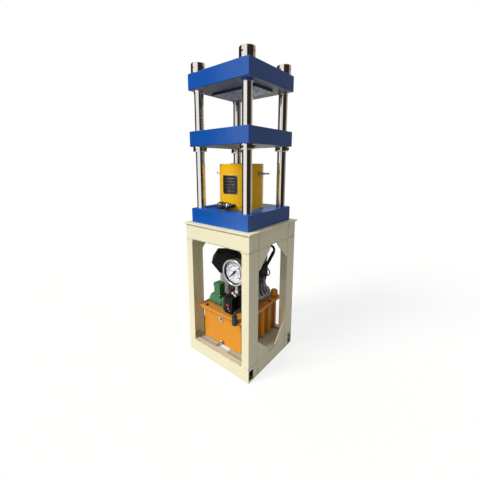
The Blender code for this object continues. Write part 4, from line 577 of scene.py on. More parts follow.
def low_dust_and_channel_shade(finish, given):
    """Grey dust on the low ledges, and painted shade on the inside of the lower channels."""
    tree = finish.tree
    low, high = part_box("bottom_channel_front")
    place = place_parts(tree)
    ledge = ramp(tree, place["Z"], high.z + 0.05, high.z + 0.03)
    ledge = times(tree, facing_mask(tree, Z_AXIS, 0.7, 0.9), ledge)
    finish.layer(times(tree, ledge, 0.80), given.floor_grime, 0.6)
    # Painted shade on the inside of the lower channels, below the ledge.
    inside = ramp(tree, square_reach(tree, place), abs(low.y) - 0.0048, abs(low.y) - 0.0054)
    hollow = times(tree, inside, height_mask(tree, low.z + 0.0052, high.z - 0.0052))
    finish.layer(times(tree, hollow, 0.9), given.hollow, 0.8)


def plate_paint(colour, bare):
    """Blue paint with a painted paler sheen on the front, painted grey shade on the right, and bare underneath."""
    values = {"Mottle": 0.34, "Peel Scale": 300.0}
    finish = Finish("blue_enamel", "paint", colour, 0.36, values, bump=0.00010, specular=0.12)
    finish.nicks(BLUE_CHIP, 0.22, 60.0)
    finish.dust(0.10, BLUE_DUST)
    finish.wear(0.0018, 0.40, BLUE_EDGE, 0.4)
    tree = finish.tree
    # Painted sheen: paler blue on the front faces, rising towards +X.
    cloud = ramp(tree, noise(tree, object_place(tree), 9.0, 4.0, 0.6), 0.30, 0.70, 0.6, 1.0)
    front_sheen_mask = times(tree, ramp(tree, place_parts(tree)["X"], -0.08, 0.20), times(tree, cloud, 0.40))
    finish.layer(times(tree, front_sheen_mask, facing_mask(tree, FRONT, 0.7, 0.9)), BLUE_PAINTED_SHEEN, 0.42)
    # Painted shade: greyer blue on the faces that look along +X.
    finish.layer(times(tree, facing_mask(tree, X_AXIS, 0.7, 0.9), 0.34), BLUE_PAINTED_SHADE, 0.42)
    values = {"Color": opaque(bare), "Roughness": 0.50, "Stretch": (26.0, 900.0, 26.0), "Smear": 0.2}
    milled = placed_group(tree, "turned", values)
    stain = ramp(tree, noise(tree, object_place(tree), 34.0, 6.0, 0.7), 0.50, 0.66)
    spotted = blend(tree, times(tree, stain, 0.55), milled["Color"], STAIN)
    under = facing_mask(tree, -Z_AXIS, 0.90, 0.98)
    return finish.layer(under, spotted, milled["Roughness"], 0.15).done()


def bright_steel(name, colour, roughness, stretch, smear=0.06, wear=0.2):
    """Machined metal with tool lines across the stretch."""
    values = {"Stretch": stretch, "Smear": smear}
    finish = Finish(name, "turned", colour, roughness, values, metallic=1.0, bump=0.00001)
    return finish.wear(0.0008, wear, STEEL_EDGE, 0.3)


def enamel(name, colour, worn, roughness=0.32, coat=0.25, mottle=0.10, dust=0.15, wear=0.35, radius=0.0015):
    """Gloss paint with chips, dust and worn edges."""
    finish = Finish(name, "paint", colour, roughness, {"Mottle": mottle}, bump=0.00009, specular=0.20, coat=coat)
    finish.nicks(worn, 0.5, 80.0)
    finish.dust(dust)
    return finish.wear(radius, wear, worn, 0.45)


def moulded(name, colour, roughness=0.42, grain=900.0, wear=0.5, edge=(0.050, 0.050, 0.050), specular=0.14):
    """Moulded plastic with a fine grain."""
    finish = Finish(name, "cast", colour, roughness, {"Grain Scale": grain, "Pitting": 0.5}, specular=specular)
    finish.dust(0.03)
    return finish.wear(0.0013, wear, edge, 0.38)


def glass(name, tint, roughness=0.02):
    """Clear part that lets the lamps through to what lies behind it."""
    fixed = {"Base Color": opaque(tint), "Transmission Weight": 1.0, "IOR": 1.12}
    material, tree, shader = new_material(name, fixed)
    smudge = noise(tree, object_place(tree), 60.0, 4.0)
    tree.links.new(ramp(tree, smudge, 0.45, 0.75, roughness, roughness + 0.06), shader["Roughness"])
    clear = node(tree, "ShaderNodeBsdfTransparent", {"Color": opaque(tint)})
    shadow = node(tree, "ShaderNodeLightPath").outputs["Is Shadow Ray"]
    glassy = tree.nodes["Principled BSDF"].outputs[0]
    mixed = node(tree, "ShaderNodeMixShader", {0: shadow, 1: glassy, 2: clear.outputs[0]})
    tree.links.new(mixed.outputs[0], tree.nodes["Material Output"].inputs["Surface"])
    return material


def smooth_faces():
    """Modifier tree that welds a node's facets and smooths all but its sharp edges."""
    name = "Smooth faces"
    if name in bpy.data.node_groups:
        return bpy.data.node_groups[name]
    tree = bpy.data.node_groups.new(name, "GeometryNodeTree")
    tree.interface.new_socket("Geometry", in_out="INPUT", socket_type="NodeSocketGeometry")
    tree.interface.new_socket("Geometry", in_out="OUTPUT", socket_type="NodeSocketGeometry")
    tree.interface.new_socket("Angle", in_out="INPUT", socket_type="NodeSocketFloat")
    given = tree.nodes.new("NodeGroupInput")
    result = tree.nodes.new("NodeGroupOutput")
    welded = node(tree, "GeometryNodeMergeByDistance", {"Geometry": given.outputs[0], "Distance": 0.00001})
    plain = node(tree, "GeometryNodeRemoveAttribute", {"Geometry": welded.outputs[0], "Name": "custom_normal"})
    soft = node(tree, "GeometryNodeSetShadeSmooth", {"Geometry": plain.outputs[0], "Shade Smooth": True})
    angle = node(tree, "GeometryNodeInputMeshEdgeAngle").outputs["Unsigned Angle"]
    values = {0: angle, 1: given.outputs["Angle"]}
    sharp = node(tree, "FunctionNodeCompare", values, data_type="FLOAT", operation="GREATER_THAN")
    crisp = node(
        tree, "GeometryNodeSetShadeSmooth",
        {"Geometry": soft.outputs[0], "Selection": sharp.outputs[0], "Shade Smooth": False}, domain="EDGE",
    )
    tree.links.new(crisp.outputs[0], result.inputs[0])
    return tree


def coat(names, material, angle=CRISP_ANGLE):
    """Gives CAD nodes a finish, and smooth shading where their faces meet at less than the angle."""
    for name in names:
        node_object = NODES[name]
        node_object.data.materials.clear()
        node_object.data.materials.append(material)
        modifier = node_object.modifiers.new("Smooth faces", "NODES")
        modifier.node_group = smooth_faces()
        modifier[modifier.node_group.interface.items_tree["Angle"].identifier] = angle


def numbered(prefix, places=("front_left", "front_right", "rear_left", "rear_right")):
    return [f"{prefix}_{place}" for place in places]


# Mesh helpers


def frame_of(direction):
    """Two unit vectors square to a direction and to each other."""
    ahead = Vector(direction).normalized()
    hint = Z_AXIS if abs(ahead.z) < 0.9 else X_AXIS
    across = hint.cross(ahead).normalized()
    return across, ahead.cross(across)


def heading(angle):
    """Level unit vector at an angle from the X axis."""
    return Vector((math.cos(angle), math.sin(angle), 0))


def spokes(count, first=X_AXIS, second=Y_AXIS):
    """Evenly spread unit vectors in the plane of two others."""
    angles = [2 * math.pi * step / count for step in range(count)]
    return [math.cos(angle) * first + math.sin(angle) * second for angle in angles]


def middle_of(name):
    low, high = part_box(name)
    return (low + high) / 2


def ring(centre, direction, radius, sides=SIDES, shape=None):
    """Points of a ring about a direction. A shape gives a share of the radius for each angle."""
    across, up = frame_of(direction)
    points = []
    for step in range(sides):
        angle = 2 * math.pi * step / sides
        reach = radius * (shape(angle) if shape else 1.0)
        points.append(Vector(centre) + reach * (math.cos(angle) * across + math.sin(angle) * up))
    return points


def hexagon(angle):
    """Distance share from the middle to a hexagon's side."""
    sector = math.radians(60)
    return math.cos(sector / 2) / math.cos((angle % sector) - sector / 2)


class Shape:
    """Collects closed shells for one piece."""

    def __init__(self):
        self.mesh = bmesh.new()

    def loft(self, rings, looped=False):
        """Skins rings of equal count, and caps both ends unless they loop."""
        rows = [[self.mesh.verts.new(point) for point in points] for points in rings]
        count = len(rows[0])
        following = rows[1:] + (rows[:1] if looped else [])
        for lower, upper in zip(rows, following):
            for step in range(count):
                after = (step + 1) % count
                self.mesh.faces.new((lower[step], lower[after], upper[after], upper[step]))
        if not looped:
            self.mesh.faces.new(list(reversed(rows[0])))
            self.mesh.faces.new(rows[-1])

    def turned(self, start, direction, profile, sides=SIDES, looped=False):
        """Solid of revolution: the profile gives distance along, radius and, where needed, a shape."""
        ahead = Vector(direction).normalized()
        rings = []
        for along, radius, *shape in profile:
            rings.append(ring(Vector(start) + along * ahead, ahead, radius, sides, *shape))
        self.loft(rings, looped)

    def hollow(self, start, direction, profile, sides=SIDES):
        """Ring of revolution: a closed profile that doesn't reach the axis."""
        self.turned(start, direction, profile, sides, looped=True)

    def flutes(self, start, ahead, radials, stations, foot_half, crest_half):
        """Ribs along a round body. A station gives distance along, foot radius and crest radius."""
        for radial in radials:
            side = ahead.cross(radial)
            rings = []
            for along, foot, crest in stations:
                base = start + ahead * along
                corners = ((foot, -foot_half), (crest, -crest_half), (crest, crest_half), (foot, foot_half))
                rings.append([base + radial * reach + side * half for reach, half in corners])
            self.loft(rings)

    def block(self, low, high, bevel):
        """Box with chamfered edges."""
        made = bmesh.ops.create_cube(self.mesh, size=1.0)["verts"]
        low, high = Vector(low), Vector(high)
        size = high - low
        for vert in made:
            vert.co = vert.co * size + (low + high) / 2
        edges = list({edge for vert in made for edge in vert.link_edges})
        bmesh.ops.bevel(self.mesh, geom=edges, offset=bevel, segments=2, affect="EDGES", clamp_overlap=True)

    def prism(self, outline, start, across, up, ahead, depth):
        """Flat outline pushed along a direction."""
        rings = []
        for reach in (0.0, depth):
            rings.append([Vector(start) + x * across + y * up + reach * ahead for x, y in outline])
        self.loft(rings)

    def tube(self, path, radius, sides):
        """Round bar along a path."""
        rings = []
        up = None
        for index, point in enumerate(path):
            before = path[max(index - 1, 0)]
            after = path[min(index + 1, len(path) - 1)]
            ahead = (after - before).normalized()
            across = (up or frame_of(ahead)[1]).cross(ahead).normalized()
            up = ahead.cross(across)
            rings.append([point + radius * spoke for spoke in spokes(sides, across, up)])
        self.loft(rings)

    def bead(self, start, end, out, width, height, pitch, dice):
        """Weld bead on a surface: overlapping ripples that taper at both ends."""
        ahead = (end - start).normalized()
        side = out.cross(ahead)
        length = (end - start).length
        steps = max(6, round(4 * length / pitch))
        drift = 0.0
        rings = []
        for step in range(steps + 1):
            share = step / steps
            drift = 0.8 * drift + dice.uniform(-0.16, 0.16)
            ripple = 0.86 + 0.14 * abs(math.sin(math.pi * share * length / pitch))
            taper = min(1.0, 0.35 + 4.0 * min(share, 1 - share) * length / (4 * width))
            swell = ripple * taper * (1 + 0.25 * drift)
            middle = start + share * (end - start) + side * drift * width * 0.4
            wide, high = side * (width * swell), out * (height * swell)
            rings.append([middle + wide * spoke.x + high * spoke.y for spoke in spokes(8)])
        self.loft(rings)

    def placed(self, name, material):
        """Turns the shells into one object. The material is given itself or by its name."""
        bmesh.ops.recalc_face_normals(self.mesh, faces=self.mesh.faces)
        data = bpy.data.meshes.new(name)
        self.mesh.to_mesh(data)
        self.mesh.free()
        data.materials.append(bpy.data.materials[material] if isinstance(material, str) else material)
        data.polygons.foreach_set("use_smooth", [True] * len(data.polygons))
        data.set_sharp_from_angle(angle=SMOOTH_ANGLE)
        return added(name, data)

    def finish(self, name, material, body, slot=None):
        """Turns the shells into one piece that rides on a body."""
        piece = self.placed(name, material)
        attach(piece, body)
        return piece


def cap_screw(shape, place, direction, radius, height):
    """Socket head screw: chamfered head with a hexagon recess."""
    recess = 0.52 * radius
    shape.turned(
        place, direction,
        [(-0.001, radius), (0.86 * height, radius), (height, 0.88 * radius), (height, recess, hexagon),
         (0.45 * height, recess, hexagon)],
    )


def screw_set(name, places, direction, radius, height, material, slot):
    """Like screws that make up one piece."""
    shape = Shape()
    for place in places:
        cap_screw(shape, place, direction, radius, height)
    shape.finish(name, material, "press", slot)


def hex_fitting(shape, place, direction, radius, length):
    """Hexagon with turned chamfers at both faces."""
    chamfer = 0.12 * length
    profile = [
        (0, 0.88 * radius),
        (chamfer, radius, hexagon),
        (length - chamfer, radius, hexagon),
        (length, 0.88 * radius),
    ]
    shape.turned(place, direction, profile)


def settings():
    return bpy.context.scene.press_settings


def added(name, data):
    """New object in the scene."""
    made = bpy.data.objects.new(name, data)
    bpy.context.scene.collection.objects.link(made)
    return made


def sight_line(bearing, height):
    """Unit vector toward a bearing from the front and a height above the horizon."""
    flat = math.cos(height)
    return Vector((flat * math.sin(bearing), -flat * math.cos(bearing), math.sin(height)))


# Stage


class PRESS_OT_stage(bpy.types.Operator):
    """Lay the pale floor, hang the soft lamps and set the camera"""

    bl_idname = "press.stage"
    bl_label = "Stage"

    def execute(self, context):
        given = settings().stage
        self.world(given)
        self.floor(given)
        self.wall(given)
        self.lamps(given)
        self.camera(given)
        context.scene.view_settings.view_transform = "Standard"
        return {"FINISHED"}

    def world(self, given):
        world = bpy.data.worlds.new("soft_room")
        world.use_nodes = True
        tree = world.node_tree
        tree.nodes.clear()
        room = node(tree, "ShaderNodeBackground", {"Color": (1.0, 0.985, 0.96, 1.0), "Strength": given.room_light})
        white = node(tree, "ShaderNodeBackground", {"Color": (1, 1, 1, 1), "Strength": 1.0})
        mixed = node(tree, "ShaderNodeMixShader", {0: seen_ray(tree), 1: room.outputs[0], 2: white.outputs[0]})
        tree.links.new(mixed.outputs[0], node(tree, "ShaderNodeOutputWorld").inputs["Surface"])
        bpy.context.scene.world = world

    def floor(self, given):
        fixed = {"Roughness": 0.9, "Specular IOR Level": 0.0, "Emission Strength": 1.0}
        material, tree, shader = new_material("pale_floor", fixed)
        cloud = noise(tree, object_place(tree), 0.8, 3.0)
        level = ramp(tree, cloud, 0.2, 0.8, given.floor_tint * 0.985, given.floor_tint)
        reach = square_reach(tree, place_parts(tree))
        outer = ramp(tree, reach, given.footprint, given.footprint - 0.002)
        inner = ramp(tree, reach, given.footprint - 0.046, given.footprint - 0.044)
        open_floor = blend_value(tree, times(tree, outer, inner), given.floor_glow, 0.05)
        glow = times(tree, seen_ray(tree), open_floor)
        for label, grey in (("Base Color", level), ("Emission Color", glow)):
            made = node(tree, "ShaderNodeCombineColor", {0: grey, 1: grey, 2: grey})
            tree.links.new(made.outputs[0], shader[label])
        half = given.floor_radius
        data = bpy.data.meshes.new("floor")
        corners = [(-half, -half, 0), (half, -half, 0), (half, half, 0), (-half, half, 0)]
        data.from_pydata(corners, [], [(0, 1, 2, 3)])
        data.materials.append(material)
        added("floor", data)

    def wall(self, given):
        """Shaded bands on a wall round the set, which only the bright metal mirrors."""
        black = (0.0, 0.0, 0.0, 1.0)
        fixed = {"Base Color": black, "Roughness": 1.0, "Specular IOR Level": 0.0, "Emission Strength": 1.0}
        material, tree, shader = new_material("shaded_wall", fixed)
        place = place_parts(tree)
        bearing = maths(tree, "ARCTAN2", place["X"], times(tree, place["Y"], -1.0))

        def band(first, last, soft=3.0):
            rise = ramp(tree, bearing, math.radians(first - soft), math.radians(first + soft))
            fall = ramp(tree, bearing, math.radians(last - soft), math.radians(last + soft))
            return minus(tree, rise, fall, True)

        brown, grey, dark = band(33, 119), band(119, 165), band(-140, -44)
        colour = blend(tree, grey, (0.030, 0.022, 0.016), (0.34, 0.33, 0.31))
        tree.links.new(colour, shader["Emission Color"])
        tree.links.new(plus(tree, plus(tree, brown, grey), dark, True), shader["Alpha"])
        inner, outer, top = given.wall_radius, given.wall_radius + 0.01, given.wall_height
        shape = Shape()
        shape.hollow((0, 0, 0.02), Z_AXIS, [(0.0, inner), (top, inner), (top, outer), (0.0, outer)], 72)
        board = shape.placed("shaded_wall", material)
        board.visible_camera = False
        board.visible_diffuse = False
        board.visible_shadow = False
        board.visible_transmission = False

    def lamps(self, given):
        sun = bpy.data.lights.new("key_lamp", "SUN")
        sun.energy = given.key_strength
        sun.angle = given.key_softness
        sun.color = (1.0, 0.985, 0.955)
        lamp = added("key_lamp", sun)
        lamp.rotation_mode = "QUATERNION"
        lamp.rotation_quaternion = sight_line(given.key_bearing, given.key_height).to_track_quat("Z", "Y")

    def camera(self, given):
        data = bpy.data.cameras.new("camera")
        data.lens = given.camera_lens
        data.shift_x, data.shift_y = given.camera_shift
        roll = given.camera_roll
        back = sight_line(given.camera_bearing, given.camera_dip)
        right = (-back).cross(Z_AXIS).normalized()
        up = right.cross(-back)
        rolled = math.cos(roll) * right + math.sin(roll) * up
        upright = math.cos(roll) * up - math.sin(roll) * right
        matrix = Matrix((rolled, upright, back)).transposed().to_4x4()
        matrix.translation = Vector(given.camera_place)
        camera = added("camera", data)
        camera.matrix_world = matrix
        bpy.context.scene.camera = camera


# Stand


class PRESS_OT_stand(bpy.types.Operator):
    """Paint the stand and lay its weld beads and window corners"""

    bl_idname = "press.stand"
    bl_label = "Stand"

    def execute(self, context):
        given = settings().stand
        cream = stand_paint(given.paint, given.grime)
        # The beads get a paler cream, a painted highlight.
        beads = stand_paint(given.bead_highlight_paint, None, "bead_highlight_cream")
        sides = ("front", "rear", "left", "right")
        coat([*numbered("bottom_channel", sides), *numbered("top_channel", sides)], cream)
        coat([*numbered("post"), "stand_top_plate", "floor_tray"], cream)
        self.welds(given, beads)
        self.corners(given, cream)
        self.tray()
        self.corner_plates(cream)
        return {"FINISHED"}

    def welds(self, given, material):
        dice = random.Random(7)
        size = (given.bead_width, given.bead_height, given.bead_pitch)
        small = (0.6 * given.bead_width, 0.6 * given.bead_height, given.bead_pitch)
        for name in numbered("post"):
            low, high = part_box(name)
            x_sign = 1 if low.x + high.x > 0 else -1
            y_sign = 1 if low.y + high.y > 0 else -1

            def at(x, y, z):
                return Vector((x_sign * x, y_sign * y, z))

            outer_x, outer_y = max(abs(low.x), abs(high.x)), max(abs(low.y), abs(high.y))
            inner_x = min(abs(low.x), abs(high.x))
            web = outer_y - GUSSET_INSET
            out_x, out_y = at(1, 0, 0), at(0, 1, 0)
            shape = Shape()
            for z, rise in ((low.z, 1), (high.z, -1)):
                tip = z + rise * given.gusset_leg
                seams = (
                    ((outer_x, web - given.gusset_leg, z), (outer_x, web, z), out_x, size),
                    ((outer_x, web, z), (outer_x, outer_y - 0.004, z), out_x, small),
                    ((inner_x, outer_y, z), (outer_x - 0.004, outer_y, z), out_y, small),
                    ((outer_x, web, z + rise * 0.006), (outer_x, web, tip), out_x, small),
                )
                for start, end, out, bead in seams:
                    shape.bead(at(*start), at(*end), out, *bead, dice)
                for height in (z + rise * 0.010, tip - rise * 0.004):
                    blob = at(outer_x, web + 0.001, height)
                    shape.bead(blob - 0.005 * Z_AXIS, blob + 0.005 * Z_AXIS, out_x, *size, dice)
            shape.finish(f"weld_beads_{name[5:]}", material, "press", "stand_paint")

    def corners(self, given, material):
        """Rounded fillets of weld and filler in the corners of the front and rear windows."""
        post_low, post_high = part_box("post_front_right")
        edge = min(abs(post_low.x), abs(post_high.x))
        for side, y_sign in (("front", -1), ("rear", 1)):
            shape = Shape()
            y = y_sign * (max(abs(post_low.y), abs(post_high.y)) - 0.0004)
            for x_sign in (-1, 1):
                corners = ((post_low.z, 1, given.corner_radius), (post_high.z, -1, given.head_radius))
                for z, rise, radius in corners:
                    outline = [(0.0, 0.0)]
                    for step in range(7):
                        angle = math.radians(90) * step / 6
                        outline.append((radius * (1 - math.sin(angle)), radius * (1 - math.cos(angle))))
                    corner = Vector((x_sign * edge, y, z))
                    across = Vector((-x_sign, 0, 0))
                    up = Vector((0, 0, rise))
                    shape.prism(outline, corner, across, up, Vector((0, -y_sign, 0)), 0.0046)
            shape.finish(f"window_corners_{side}", material, "press", "stand_paint")

    def corner_plates(self, material):
        """Plates that close the open ends of the upper front and rear channels."""
        low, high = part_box("top_channel_front")
        inner, outer = abs(high.y) + 0.0002, abs(low.y) - 0.0001
        inside, outside = high.x - 0.0050, high.x + 0.0004
        foot, head = low.z + 0.0004, high.z - 0.0004
        shape = Shape()
        for left, right in ((-outside, -inside), (inside, outside)):
            for front, rear in ((-outer, -inner), (inner, outer)):
                shape.block((left, front, foot), (right, rear, head), bevel=0.0003)
        shape.finish("beam_end_plates", material, "press", "stand_paint")

    def tray(self):
        """Folded stiffening lines along the front and rear of the floor tray."""
        low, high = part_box("floor_tray")
        shape = Shape()
        top = high.z - 0.0002
        for y_sign in (-1, 1):
            for inset in (-0.0150, -0.0095, -0.0040, 0.0030):
                y = y_sign * (high.y - inset)
                left_end, right_end = low.x + 0.004, high.x - 0.004
                spans = [(left_end, -0.026), (0.050, right_end)] if y_sign < 0 else [(left_end, right_end)]
                for left, right in spans:
                    shape.block((left, y - 0.0012, top), (right, y + 0.0012, top + 0.0014), bevel=0.0004)
        brown = stand_paint((0.20, 0.18, 0.13), None, "seam_brown")
        shape.finish("tray_folds", brown, "press", "stand_paint")


# Press


class PRESS_OT_plates(bpy.types.Operator):
    """Paint the plates, leave their undersides bare, and finish the pressing block"""

    bl_idname = "press.plates"
    bl_label = "Plates"

    def execute(self, context):
        given = settings().press
        blue = plate_paint(given.paint, given.bare)
        coat(["base_plate", "moving_platen", "crown_plate"], blue)
        values = {"Stretch": (900.0, 26.0, 26.0), "Smear": 0.2}
        block = Finish("block_steel", "turned", given.block, 0.45, values, metallic=0.1, bump=0.00002)
        tree = block.tree
        stain = ramp(tree, noise(tree, object_place(tree), 55.0, 6.0, 0.7), 0.52, 0.62)
        block.layer(times(tree, stain, 0.75), BLOCK_STAIN, 0.6)
        block.layer(facing_mask(tree, -Z_AXIS, 0.6, 0.5), BLOCK_SIDE, 0.4, 0.1)
        block.wear(0.0010, 0.4, IRON, 0.35)
        coat(["pressing_block"], block.done())
        return {"FINISHED"}


class PRESS_OT_columns(bpy.types.Operator):
    """Finish the columns, nuts and collars, and fit their screws"""

    bl_idname = "press.columns"
    bl_label = "Columns"

    def execute(self, context):
        given = settings().press
        self.steels(given)
        self.collar_screws(given)
        self.nut_details()
        return {"FINISHED"}

    def steels(self, given):
        plain = bright_steel("ground_steel", given.column, 0.11, (9.0, 9.0, 1500.0), 0.05).done()
        coat(numbered("column", ("front_left", "rear_left", "rear_right")), plain)
        ground = bright_steel("sprayed_steel", given.column, 0.11, (9.0, 9.0, 1500.0), 0.05)
        tree = ground.tree
        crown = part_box("crown_plate")[0].z
        spray = noise(tree, object_place(tree), 120.0, 4.0)
        z = plus(tree, place_parts(tree)["Z"], swing(tree, spray, 0.004))
        blue = ramp(tree, z, crown - 0.0150, crown - 0.0138)
        neck = ramp(tree, z, crown + 0.001, crown)
        ground.layer(times(tree, blue, neck), given.paint, 0.4, 0.0)
        coat(["column_front_right"], ground.done())
        rounds = (("collar_steel", "stop_collar", 0.0), ("turned_steel", "column_nut", 0.0010))
        for label, prefix, hole_depth in rounds:
            turned = bright_steel(label, given.nut, 0.11, (8.0, 8.0, 1600.0), 0.02, 0.0)
            self.round_normal(turned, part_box(f"{prefix}_rear_right"), hole_depth)
            coat(numbered(prefix), turned.done())

    def round_normal(self, finish, limits, hole_depth):
        """Shades four like rings as true rounds, and paints shade on what lies deeper than their outside."""
        tree = finish.tree
        low, high = limits
        place = object_place(tree)
        centre = (low + high) / 2
        centre.z = 0.0
        corner = vectors(tree, "MULTIPLY", vectors(tree, "SIGN", place), centre)
        offset = vectors(tree, "SUBTRACT", place, corner)
        flat = vectors(tree, "MULTIPLY", offset, (1.0, 1.0, 0.0))
        reach = vectors(tree, "LENGTH", flat, output="Value")
        radial = vectors(tree, "NORMALIZE", flat)
        true = node(tree, "ShaderNodeNewGeometry").outputs["True Normal"]
        facing = vectors(tree, "DOT_PRODUCT", true, radial, "Value")
        radius = (high.x - low.x) / 2
        outside = ramp(tree, reach, radius - 0.0012, radius - 0.0008)
        side = times(tree, ramp(tree, facing, 0.95, 0.97), outside)
        values = {0: side, 4: finish.edges["Normal"], 5: radial}
        finish.normal = node(tree, "ShaderNodeMix", values, data_type="VECTOR").outputs[1]
        # Painted shade in the holes, below the top.
        if hole_depth:
            deep = ramp(tree, reach, radius - hole_depth, radius - hole_depth - 0.0006)
            below = ramp(tree, place_parts(tree)["Z"], high.z - 0.0040, high.z - 0.0045)
            finish.layer(times(tree, deep, below), HOLE_PAINTED_SHADE, 0.9, 0.0)

    def collar_screws(self, given):
        values = {"Grain Scale": 1200.0, "Pitting": 0.4}
        finish = Finish("black_oxide", "cast", given.screw, 0.34, values, metallic=0.4, bump=0.00002)
        black = finish.wear(0.0005, 0.5, (0.16, 0.16, 0.16), 0.3, 0.8).done()
        for name in numbered("stop_collar"):
            low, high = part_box(name)
            centre = (low + high) / 2
            radius = (high.x - low.x) / 2
            shape = Shape()
            for direction in (X_AXIS, -X_AXIS, Y_AXIS, -Y_AXIS):
                place = centre + (radius - 0.001) * direction
                cap_screw(shape, place, direction, given.collar_screw_radius, given.collar_screw_height)
            shape.finish(f"{name}_screws", black, "press", "nut_steel")

    def nut_details(self):
        """Column ends inside the nuts, and the lock screw on the rear right nut."""
        steel = "turned_steel"
        for name in numbered("column_nut"):
            low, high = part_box(name)
            centre = Vector(((low.x + high.x) / 2, (low.y + high.y) / 2, high.z - 0.0058))
            shape = Shape()
            profile = [(0, 0.0165), (0.0018, 0.0165), (0.0026, 0.0158), (0.0026, 0.004), (0.0008, 0.0015)]
            shape.turned(centre, Z_AXIS, profile, 32)
            shape.finish(f"{name}_column_end", steel, "press", "column_steel")
        low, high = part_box("column_nut_rear_right")
        place = (low.x + 0.016, (low.y + high.y) / 2, high.z - 0.0085)
        screw_set("nut_lock_screw", [place], Z_AXIS, 0.0040, 0.0078, "black_oxide", "nut_steel")


# Jack


